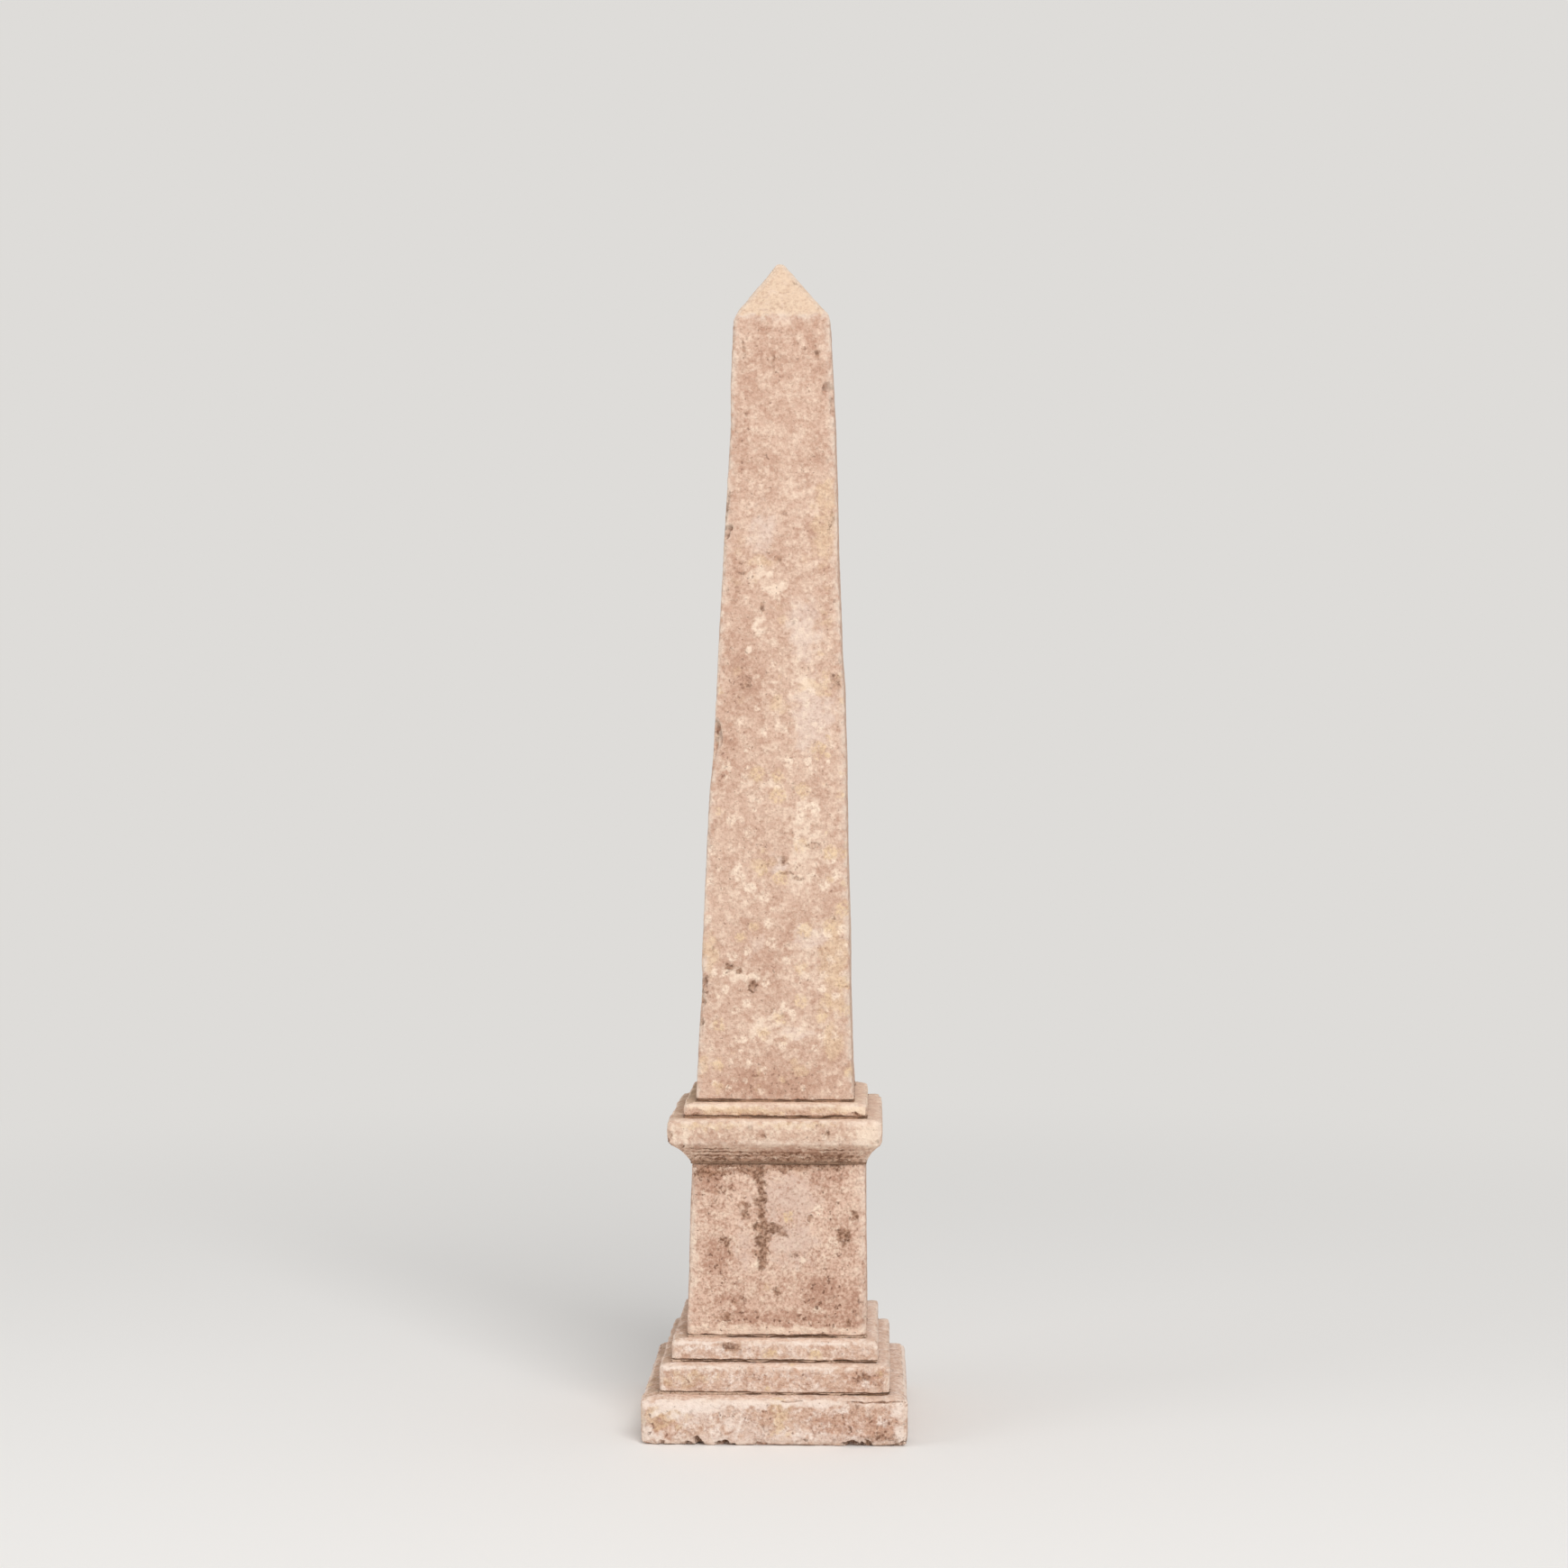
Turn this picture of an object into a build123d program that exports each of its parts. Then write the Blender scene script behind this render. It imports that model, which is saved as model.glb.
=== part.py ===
"""A garden obelisk of weathered pink stone.

Seven dressed stones stand one on another: a plinth, two steps, a die with battered faces,
a cornice with a hollow soffit, a thin base, and a tapering needle that ends in a low pyramid.
Each stone but the plinth lies on a thin bed of mortar, raked back from its face, that reads
as a dark line all round.

The frame: +Z up, the front faces -Y, and the origin is the centre of the plinth's underside.
All lengths are in millimetres.
"""

import os

from build123d import *

# Plans of the stones: each is square, so a width is its side in both directions.
plinth_width = 250.0
lower_step_width = 218.0
upper_step_width = 195.5
die_foot_width = 171.0
die_head_width = 165.0
cornice_width = 203.0
needle_base_width = 175.0
needle_foot_width = 151.0
needle_shoulder_width = 93.0

# Heights of the stones, without their beds.
plinth_height = 44.0
lower_step_height = 26.0
upper_step_height = 19.0
die_height = 163.0
soffit_height = 19.0
fascia_height = 22.5
needle_base_height = 12.0
needle_shaft_height = 746.0
needle_pyramid_height = 57.0

# Beds of mortar: how thick, and how far raked back from the narrower face they join.
bed_thickness = 2.0
bed_rake = 4.0

# The cornice's soffit springs this far outside the die, and is hollowed to this depth.
soffit_ledge = 1.5
soffit_hollow = 1.6

# Laid by hand, the die and the needle stand a little out of true along X.
die_foot_drift = 1.5
die_head_drift = 3.0
needle_foot_drift = -0.8
needle_shoulder_drift = 4.8
needle_tip_drift = 2.2

# Wear: the radius to which the arrises of each stone are rounded, the smaller radius of those that
# lie sheltered along a bed, and the flat left at the needle's tip.
plinth_arris = 4.0
lower_step_arris = 3.0
upper_step_arris = 3.0
die_arris = 3.5
cornice_arris = 3.0
needle_base_arris = 2.5
needle_arris = 2.5
bed_arris = 1.2
needle_tip_flat = 0.5

# Frost chips along the lower front edge of the plinth: place along X, then radius.
plinth_chips = ((-72.0, 7.0), (-42.0, 5.0), (73.0, 8.0), (91.0, 4.5))

# Levels: the underside of each stone, then the cornice's lip and the needle's shoulder and tip.
lower_step_level = plinth_height + bed_thickness
upper_step_level = lower_step_level + lower_step_height + bed_thickness
die_level = upper_step_level + upper_step_height + bed_thickness
cornice_level = die_level + die_height + bed_thickness
fascia_level = cornice_level + soffit_height
needle_base_level = fascia_level + fascia_height + bed_thickness
needle_level = needle_base_level + needle_base_height + bed_thickness
shoulder_level = needle_level + needle_shaft_height
tip_level = shoulder_level + needle_pyramid_height

# The needle's tip is as blunt as its rounded arrises leave it.
needle_tip_width = 2 * needle_arris + needle_tip_flat


def slab(width, height, level, arris):
    """Makes a plain square course, its corners and top worn round and its foot only nicked."""
    with BuildPart() as stone:
        with BuildSketch(Plane.XY.offset(level)):
            Rectangle(width, width)
        extrude(amount=height)
        fillet(stone.edges().filter_by(Axis.Z) + stone.edges().group_by(Axis.Z)[-1], radius=arris)
        fillet(stone.edges().group_by(Axis.Z)[0], radius=bed_arris)
    return stone


def bed(width, level, drift=0.0):
    """Makes the mortar under a stone at a level, raked back all round from a face width across."""
    with BuildPart() as mortar:
        with BuildSketch(Plane.XY.offset(level - bed_thickness)):
            with Locations((drift, 0.0)):
                Rectangle(width - 2 * bed_rake, width - 2 * bed_rake)
        extrude(amount=bed_thickness)
    return mortar


with BuildPart() as plinth:
    with BuildSketch():
        Rectangle(plinth_width, plinth_width)
    extrude(amount=plinth_height)
    fillet(plinth.edges(), radius=plinth_arris)
    for place, radius in plinth_chips:
        with Locations((place, -plinth_width / 2, 0.0)):
            Sphere(radius, mode=Mode.SUBTRACT)

lower_step = slab(lower_step_width, lower_step_height, lower_step_level, lower_step_arris)
upper_step = slab(upper_step_width, upper_step_height, upper_step_level, upper_step_arris)

with BuildPart() as die:
    with BuildSketch(Plane.XY.offset(die_level)):
        with Locations((die_foot_drift, 0.0)):
            Rectangle(die_foot_width, die_foot_width)
    with BuildSketch(Plane.XY.offset(die_level + die_height)):
        with Locations((die_head_drift, 0.0)):
            Rectangle(die_head_width, die_head_width)
    loft()
    fillet(die.edges().group_by(Axis.Z)[1], radius=die_arris)
    fillet(die.edges().group_by(Axis.Z)[0] + die.edges().group_by(Axis.Z)[-1], radius=bed_arris)

# The cornice is one section run along Y and again along X: what both runs share has mitred corners.
with BuildPart() as cornice:
    for section_plane, drift, mode in (
        (Plane.XZ, die_head_drift, Mode.ADD),
        (Plane.YZ, 0.0, Mode.INTERSECT),
    ):
        with BuildSketch(section_plane):
            with BuildLine():
                for side in (-1, 1):
                    foot = Vector(drift + side * (die_head_width / 2 + soffit_ledge), cornice_level)
                    lip = Vector(side * cornice_width / 2, fascia_level)
                    inward = Vector(foot.Y - lip.Y, lip.X - foot.X).normalized() * side
                    ThreePointArc(foot, (foot + lip) / 2 + inward * soffit_hollow, lip)
                    Polyline(lip, lip + Vector(0.0, fascia_height), (0.0, fascia_level + fascia_height))
                    Line(foot, (0.0, cornice_level))
            make_face()
        extrude(amount=cornice_width, both=True, mode=mode)
    lip_edges, upright_edges, top_edges = cornice.edges().group_by(Axis.Z)[-3:]
    fillet(lip_edges + upright_edges + top_edges, radius=cornice_arris)

needle_base = slab(needle_base_width, needle_base_height, needle_base_level, needle_base_arris)

with BuildPart() as needle:
    for level, width, drift in (
        (needle_level, needle_foot_width, needle_foot_drift),
        (shoulder_level, needle_shoulder_width, needle_shoulder_drift),
        (tip_level, needle_tip_width, needle_tip_drift),
    ):
        with BuildSketch(Plane.XY.offset(level)):
            with Locations((drift, 0.0)):
                Rectangle(width, width)
    loft(ruled=True)
    fillet(needle.edges(), radius=needle_arris)

pieces = {
    "plinth": plinth,
    "lower_step_bed": bed(lower_step_width, lower_step_level),
    "lower_step": lower_step,
    "upper_step_bed": bed(upper_step_width, upper_step_level),
    "upper_step": upper_step,
    "die_bed": bed(die_foot_width, die_level, die_foot_drift),
    "die": die,
    "cornice_bed": bed(die_head_width, cornice_level, die_head_drift),
    "cornice": cornice,
    "needle_base_bed": bed(needle_base_width, needle_base_level),
    "needle_base": needle_base,
    "needle_bed": bed(needle_foot_width, needle_level, needle_foot_drift),
    "needle": needle,
}

os.makedirs("parts", exist_ok=True)
for name, piece in pieces.items():
    piece.part.label = name
    export_step(piece.part, f"parts/{name}.step")
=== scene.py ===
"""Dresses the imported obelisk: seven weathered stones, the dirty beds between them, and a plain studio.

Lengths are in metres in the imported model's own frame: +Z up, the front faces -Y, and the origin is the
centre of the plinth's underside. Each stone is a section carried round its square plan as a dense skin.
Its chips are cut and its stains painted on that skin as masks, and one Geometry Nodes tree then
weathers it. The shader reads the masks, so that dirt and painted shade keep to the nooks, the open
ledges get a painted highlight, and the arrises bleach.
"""

import logging
import math
from dataclasses import dataclass, field, replace
from enum import Enum
from functools import cache

import bpy
import numpy as np
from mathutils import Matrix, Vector


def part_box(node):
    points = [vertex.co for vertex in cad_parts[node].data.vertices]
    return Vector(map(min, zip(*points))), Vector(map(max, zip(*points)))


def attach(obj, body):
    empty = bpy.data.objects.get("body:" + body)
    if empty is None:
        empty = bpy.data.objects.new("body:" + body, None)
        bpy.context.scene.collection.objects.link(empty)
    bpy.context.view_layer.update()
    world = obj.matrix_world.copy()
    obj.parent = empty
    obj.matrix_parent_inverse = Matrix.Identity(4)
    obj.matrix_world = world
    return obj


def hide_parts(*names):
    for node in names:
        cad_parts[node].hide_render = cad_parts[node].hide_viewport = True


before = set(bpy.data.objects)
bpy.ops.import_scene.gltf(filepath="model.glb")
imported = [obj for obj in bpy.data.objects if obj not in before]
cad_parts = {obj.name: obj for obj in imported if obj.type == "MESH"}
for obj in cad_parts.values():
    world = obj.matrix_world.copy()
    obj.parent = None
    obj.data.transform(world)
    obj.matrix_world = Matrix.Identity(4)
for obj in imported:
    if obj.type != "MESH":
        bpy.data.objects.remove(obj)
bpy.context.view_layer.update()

MM = 0.001
HIDDEN_STEP = 24 * MM  # the longest step of a skin where another stone hides it
ARC_FINENESS = 0.6  # how long a step round an arc is, for each step along a flat
FEWEST_ARC_STEPS = 4
ARRIS_REACH = 4 * MM  # how far along the section an arris wears the stone
SHARP = 0.8 * MM  # the radius of an arris that a tight joint has kept from wear
LEVEL = 1e-6  # heights that differ by less are the same
WAVES = 6  # how many crossed waves make an uneven field
WAVE_HEIGHT = 2.5  # about how high they stand where they meet

Colour = tuple[float, float, float, float]

log = logging.getLogger("obelisk")


class Face(Enum):
    """The upright faces of a stone, in the order in which its rings run: outward way, then way along."""

    FRONT = ((0, -1), (1, 0))
    RIGHT = ((1, 0), (0, 1))
    BACK = ((0, 1), (-1, 0))
    LEFT = ((-1, 0), (0, -1))

    @property
    def outward(self) -> np.ndarray:
        """The level unit vector that the face looks along."""
        return np.array([*self.value[0], 0.0])

    @property
    def along(self) -> np.ndarray:
        """The level unit vector that runs to the right for someone who looks at the face."""
        return np.array([*self.value[1], 0.0])


class Mask(Enum):
    """What is painted on a skin, by the name of its attribute. Each runs from 0 to 1.

    Attributes:
        FREE: Where no other stone hides it, so that the weather reaches it.
        ARRIS: How near it is to a worn arris.
        NOOK: How near it is to the foot of the stone above.
        LEDGE: Where it is an open ledge.
        DUST_AND_SHADE: Where dust and painted shade lie on that ledge: on the ledges to the left and at the
            back.
        PIT: Where it is pitted.
        GRIME: Where it is dirty; in its chips, on the cornice's soffit and on the die's head under it, it
            also stands for painted shade.
        ROSE: Where it is rosy.
        OCHRE: Where lichen has stained it; on the needle's pyramid it is also painted light that makes it
            paler.
        LILAC: Where it has a bloom of lime; on the needle's pyramid it is also painted light that makes it
            paler.
        CREAM: Where it is bleached, where it has a painted highlight along some top edges, and where a bed
            still holds its mortar.
    """

    FREE = "free"
    ARRIS = "arris"
    NOOK = "nook"
    LEDGE = "ledge"
    DUST_AND_SHADE = "dust"
    PIT = "pit"
    GRIME = "grime"
    ROSE = "rose"
    OCHRE = "ochre"
    LILAC = "lilac"
    CREAM = "cream"


def srgb(red: float, green: float, blue: float) -> Colour:
    """Turns a colour as a screen shows it, from 0 to 255, into the linear colour that a shader takes.

    Args:
        red: The red share.
        green: The green share.
        blue: The blue share.

    Returns:
        The linear colour with a full alpha.
    """
    shares = [channel / 255 for channel in (red, green, blue)]
    linear = [s / 12.92 if s <= 0.04045 else ((s + 0.055) / 1.055) ** 2.4 for s in shares]
    return (*linear, 1.0)


def smooth(value: np.ndarray, low: float, high: float) -> np.ndarray:
    """Eases a value from 0 at low to 1 at high."""
    share = np.clip((value - low) / (high - low), 0.0, 1.0)
    return share * share * (3 - 2 * share)


def wobble(points: np.ndarray, size: float, seed: int) -> np.ndarray:
    """Makes a smooth uneven field through space from a few crossed waves.

    Args:
        points: The places, as an array whose last axis is X, Y, Z.
        size: About how far apart its highs lie.
        seed: Which field.

    Returns:
        Its value at each place, mostly between -1 and 1.
    """
    random = np.random.default_rng(seed)
    total = np.zeros(points.shape[:-1])
    for _ in range(WAVES):
        way = random.normal(size=3)
        way *= random.uniform(0.7, 1.6) * math.tau / size / np.linalg.norm(way)
        total += np.sin(points @ way + random.uniform(0, math.tau))
    return total / WAVE_HEIGHT


# ------------------------------------------------------------------ the section of a stone


@dataclass(frozen=True)
class Corner:
    """A corner of a stone's upright section.

    Attributes:
        out: How far it lies from the stone's axis.
        height: How high it lies above the ground.
        radius: How far it is worn round.
        wear: How far it is bleached and broken, from 0 to 1.
    """

    out: float
    height: float
    radius: float
    wear: float = 1.0

    @property
    def tip(self) -> np.ndarray:
        """Where the corner's point would be if it were sharp."""
        return np.array([self.out, self.height])

    def rounded(self, before: np.ndarray, after: np.ndarray, step: float) -> np.ndarray:
        """Rounds the corner off.

        Args:
            before: A point of the section on the way to the corner.
            after: A point of the section on the way from it.
            step: The longest step along the arc.

        Returns:
            The arc's points in order, as rows of distance out and height.
        """
        back = (before - self.tip) / np.linalg.norm(before - self.tip)
        ahead = (after - self.tip) / np.linalg.norm(after - self.tip)
        half = math.acos(float(np.clip(back @ ahead, -1, 1))) / 2
        turn = math.pi - 2 * half
        inward = (back + ahead) / np.linalg.norm(back + ahead)
        middle = self.tip + inward * self.radius / math.sin(half)
        start = self.tip + back * self.radius / math.tan(half) - middle
        end = self.tip + ahead * self.radius / math.tan(half) - middle
        share = np.linspace(0, 1, max(FEWEST_ARC_STEPS, math.ceil(turn * self.radius / step)) + 1)[:, None]
        return middle + (np.sin((1 - share) * turn) * start + np.sin(share * turn) * end) / math.sin(turn)


@dataclass(frozen=True)
class Section:
    """Half of a stone's upright section: out along its underside, up its face and in across its top.

    Attributes:
        corners: Its corners in that order.
        hidden_below: How far out its underside is hidden by what it stands on.
        hidden_above: How far out its top is hidden by what stands on it.
    """

    corners: tuple[Corner, ...]
    hidden_below: float
    hidden_above: float

    def hides(self, first: np.ndarray, last: np.ndarray) -> bool:
        """Tells whether a straight stretch of the section lies under or on another stone.

        Args:
            first: The stretch's start.
            last: The stretch's end.

        Returns:
            Whether it does.
        """
        foot, head = self.corners[0].height, self.corners[-1].height
        if first[1] == last[1] == foot:
            return bool(last[0] <= self.hidden_below)
        return bool(first[1] == last[1] == head and first[0] <= self.hidden_above)

    def trace(self, pitch: float) -> tuple[np.ndarray, np.ndarray]:
        """Samples the section, finely where it shows and coarsely where it is hidden.

        Args:
            pitch: The longest step where it shows.

        Returns:
            The samples as rows of distance out and height, and how near each lies to a worn arris.
        """
        foot, head = self.corners[0].height, self.corners[-1].height
        hidden_foot, hidden_head = [self.hidden_below, foot], [self.hidden_above, head]
        tips = np.array([hidden_foot, *(corner.tip for corner in self.corners), hidden_head])
        arcs = [
            corner.rounded(before, after, ARC_FINENESS * pitch)
            for before, corner, after in zip(tips[:-2], self.corners, tips[2:])
        ]
        line = np.concatenate([[[0.0, foot], hidden_foot], *arcs, [hidden_head, [0.0, head]]])
        samples = [line[:1]]
        for first, last in zip(line[:-1], line[1:]):
            step = HIDDEN_STEP if self.hides(first, last) else pitch
            count = math.ceil(np.linalg.norm(last - first) / step)
            if count:
                samples.append(first + (last - first) * np.linspace(0, 1, count + 1)[1:, None])
        path = np.concatenate(samples)
        travelled = np.insert(np.cumsum(np.linalg.norm(np.diff(path, axis=0), axis=1)), 0, 0.0)
        near = np.zeros(len(path))
        for corner, arc in zip(self.corners, arcs):
            middle = travelled[np.argmin(np.linalg.norm(path - arc[len(arc) // 2], axis=1))]
            near = np.maximum(near, corner.wear * np.exp(-(((travelled - middle) / ARRIS_REACH) ** 2)))
        return path, near


# ------------------------------------------------------------------ damage and stains


@dataclass(frozen=True)
class Dent:
    """A pit or a chip: a ball of stone gone from a face, or from an arris if it leans over one.

    Attributes:
        across: Where it is, to the right of the obelisk's axis for someone who looks at the face.
        height: Where it is above the ground.
        radius: The ball's radius.
        bite: How deep it cuts.
        lean: How far it faces along the face and upwards, as 1 for an arris to the right or above.
        dirt: How far it is darkened, more where it cuts deeper: dirt and painted shade in the hollow.
        face: The face that it is in.
    """

    across: float
    height: float
    radius: float
    bite: float
    lean: tuple[float, float] = (0.0, 0.0)
    dirt: float = 0.0
    face: Face = Face.FRONT


@dataclass(frozen=True)
class Mark:
    """A stain or a bleached patch on an upright face: a soft ellipse, which the shader tears.

    Attributes:
        mask: What it is.
        across: Where its middle is, to the right of the obelisk's axis for someone who looks at the face.
        height: Where its middle is above the ground.
        width: How wide it is.
        tall: How tall it is.
        strength: How strong it is, from 0 to 1.
        face: The face that it is on.
    """

    mask: Mask
    across: float
    height: float
    width: float
    tall: float
    strength: float = 1.0
    face: Face = Face.FRONT


# ------------------------------------------------------------------ the skin of a stone


class Skin:
    """A closed skin of square rings carried up a section, kept as a grid while it is cut and painted.

    Attributes:
        CROWDING: How far the points of a side crowd towards its arrises, from 0 to 1.
        UNEVENNESS: How far the radius of an upright arris strays from the usual, as a share of it.
        APART: How far apart the four arrises read their unevenness, so that each has its own.
        RIPPLE_SIZES: The sizes of the ripples.
        NOOK_REACH: How far the dirt and painted shade in a nook spread over the ledge.
        foot: How high its underside is.
        head: How high its top is.
        points: Where each point is, by ring and then round the ring.
        masks: What is painted on each point.
        upright_rings: Which rings lie on an upright part of the section.
        ripples: Two uneven fields that bend the outlines of what is painted.
    """

    CROWDING = 0.55
    UNEVENNESS = 0.4
    APART = 9.0
    RIPPLE_SIZES = (17 * MM, 13 * MM)
    NOOK_REACH = 4 * MM

    def __init__(
        self,
        section: Section,
        pitch: float,
        per_side: int,
        corner_radius: float,
        corner_wear: float,
        seed: int,
    ) -> None:
        """Lays the rings out and marks what lies where on them.

        Args:
            section: The stone's section.
            pitch: The longest step up the section.
            per_side: How many points each side of a ring has.
            corner_radius: How far the upright arrises are worn round.
            corner_wear: How far they are bleached and broken.
            seed: What their unevenness starts from.
        """
        path, near = section.trace(pitch)
        self.foot, self.head = path[0, 1], path[-1, 1]
        out, height = path[1:-1, :1], path[1:-1, 1:]
        even = np.arange(per_side) / per_side * 2 - 1
        crowded = (1 - self.CROWDING) * even + self.CROWDING * np.sin(even * math.pi / 2)
        across = np.tile(crowded, len(Face))[None, :]
        self.points = self.lay_rings(out, height, across, corner_radius, seed)
        slope = np.gradient(path, axis=0)[1:-1]
        upright = smooth(np.abs(slope[:, 1]) / np.linalg.norm(slope, axis=1), 0.3, 0.75)
        self.upright_rings = np.flatnonzero(upright > 0.5)
        to_corner = out * (1 - np.abs(across))
        near_corner = np.exp(-((to_corner / (corner_radius + 2 * MM)) ** 2))
        self.masks = {mask: np.zeros(to_corner.shape) for mask in Mask}
        self.masks[Mask.ARRIS] = np.maximum(near[1:-1, None], corner_wear * upright[:, None] * near_corner)
        self.paint_ledges(section, out, height)
        self.ripples = [wobble(self.points, size, seed + 50) for size in self.RIPPLE_SIZES]

    def lay_rings(
        self, out: np.ndarray, height: np.ndarray, across: np.ndarray, corner_radius: float, seed: int
    ) -> np.ndarray:
        """Lays a square ring of points at each height, with its upright arrises worn round.

        Args:
            out: How far out each ring lies, as a column.
            height: How high each ring lies, as a column.
            across: Where each point lies along its side, from -1 to 1, as a row.
            corner_radius: How far the upright arrises are worn round.
            seed: What their unevenness starts from.

        Returns:
            The points, by ring and then round the ring.
        """
        per_side = across.size // len(Face)
        along = np.repeat([face.along for face in Face], per_side, axis=0)[None]
        outward = np.repeat([face.outward for face in Face], per_side, axis=0)[None]
        flat = (along * across[..., None] + outward) * out[..., None]
        lift = np.array([0.0, 0.0, 1.0]) * height[..., None]
        uneven = 1 + self.UNEVENNESS * wobble(np.sign(flat) * self.APART + lift, 60 * MM, seed)
        radius = np.minimum(corner_radius * uneven, out)[..., None]
        core = np.clip(flat, radius - out[..., None], out[..., None] - radius)
        away = flat - core
        away /= np.maximum(np.linalg.norm(away, axis=-1, keepdims=True), 1e-12)
        return core + away * radius + lift

    def paint_ledges(self, section: Section, out: np.ndarray, height: np.ndarray) -> None:
        """Marks what no other stone hides, and the open ledges with their nooks and their dust, where dirt
        and painted shade lie.

        Args:
            section: The stone's section.
            out: How far out each ring lies, as a column.
            height: How high each ring lies, as a column.
        """
        top = (height > self.head - LEVEL) & (section.hidden_above > 0)
        bottom = height < self.foot + LEVEL
        hidden = np.where(height > (self.foot + self.head) / 2, section.hidden_above, section.hidden_below)
        clear = out - hidden
        self.masks[Mask.FREE] += np.where(top | bottom, smooth(clear, 0.0, 2 * MM), 1.0)
        # the back of each open ledge, under the stone above, is marked for dirt and painted shade
        self.masks[Mask.NOOK] += np.where(top, np.exp(-np.maximum(clear, 0) / self.NOOK_REACH), 0.0)
        self.masks[Mask.LEDGE] += np.where(top, 1.0, 0.0)
        east, north = self.points[..., 0], self.points[..., 1]
        # dust and painted shade: the ledges to the left and at the back are marked darker
        dust_and_shade_side = smooth(np.maximum(-east - np.abs(north), 0.6 * (north - np.abs(east))), -5 * MM, 5 * MM)
        self.masks[Mask.DUST_AND_SHADE] = self.masks[Mask.LEDGE] * dust_and_shade_side

    @property
    def normals(self) -> np.ndarray:
        """The outward unit vector at each point."""
        round_ring = np.roll(self.points, -1, axis=1) - np.roll(self.points, 1, axis=1)
        up_section = np.gradient(self.points, axis=0)
        normal = np.cross(round_ring, up_section)
        return normal / np.maximum(np.linalg.norm(normal, axis=-1, keepdims=True), 1e-12)

    def face_at(self, face: Face, across: float, height: float) -> np.ndarray:
        """Finds a point of a face.

        Args:
            face: The face.
            across: How far the point lies to the right, for someone who looks at the face.
            height: How high it lies.

        Returns:
            The point.
        """
        rings = self.points[self.upright_rings]
        reach = np.max(rings @ face.outward, axis=1)
        heights = rings[:, 0, 2]
        order = np.argsort(heights)
        out = np.interp(height, heights[order], reach[order])
        return face.along * across + face.outward * out + np.array([0.0, 0.0, height])

    def cut(self, dent: Dent, seed: int) -> None:
        """Cuts a dent out of the skin and darkens it, more where it cuts deeper: dirt and painted shade.

        Args:
            dent: The dent.
            seed: What its uneven edge starts from.
        """
        facing = dent.face.outward + dent.face.along * dent.lean[0] + np.array([0, 0, dent.lean[1]])
        facing = facing / np.linalg.norm(facing)
        centre = self.face_at(dent.face, dent.across, dent.height) + facing * (dent.radius - dent.bite)
        radius = dent.radius * (1 + 0.3 * wobble(self.points, 0.9 * dent.radius, seed))
        offset = self.points - centre
        depth = offset @ facing
        inside = radius**2 - np.sum(offset**2, axis=-1)
        travel = np.where(inside > 0, depth + np.sqrt(np.maximum(depth**2 + inside, 0.0)), 0.0)
        self.points -= np.maximum(travel, 0.0)[..., None] * facing
        # the dent is darkened more the deeper it cuts: dirt and painted shade in the hollow
        shade = dent.dirt * smooth(travel, 0.0, dent.bite)
        self.masks[Mask.GRIME] = np.maximum(self.masks[Mask.GRIME], shade)

    def paint(self, mark: Mark, normals: np.ndarray) -> None:
        """Paints a mark on its face.

        Args:
            mark: The mark.
            normals: The skin's normals.
        """
        bend = min(0.35 * min(mark.width, mark.tall), 4 * MM)
        across = self.points @ mark.face.along - mark.across + bend * self.ripples[0]
        height = self.points[..., 2] - mark.height + bend * self.ripples[1]
        reach = (across / mark.width) ** 2 + (height / mark.tall) ** 2
        seen = smooth(normals @ mark.face.outward, 0.1, 0.5)
        value = mark.strength * np.exp(-1.6 * reach**1.3) * seen
        self.masks[mark.mask] = np.maximum(self.masks[mark.mask], value)

    def mesh(self, name: str) -> bpy.types.Mesh:
        """Turns the grid into a closed mesh with its masks as attributes.

        Args:
            name: The mesh's name.

        Returns:
            The mesh.
        """
        rings, around = self.points.shape[:2]
        centres = [self.points[0].mean(axis=0), self.points[-1].mean(axis=0)]
        centres[0][2], centres[1][2] = self.foot, self.head
        here = np.arange(rings * around).reshape(rings, around)
        ahead = np.roll(here, -1, axis=1)
        quads = np.stack([here[:-1], ahead[:-1], ahead[1:], here[1:]], axis=-1).reshape(-1, 4)
        under = [(rings * around, b, a) for a, b in zip(here[0], ahead[0])]
        over = [(rings * around + 1, a, b) for a, b in zip(here[-1], ahead[-1])]
        made = bpy.data.meshes.new(name)
        made.from_pydata([*self.points.reshape(-1, 3), *centres], [], [*quads.tolist(), *under, *over])
        made.shade_smooth()
        for mask, values in self.masks.items():
            attribute = made.attributes.new(mask.value, "FLOAT", "POINT")
            ends = [values[0].mean(), values[-1].mean()]
            attribute.data.foreach_set("value", np.concatenate([values.ravel(), ends]))
        return made


# ------------------------------------------------------------------ node trees


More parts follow.
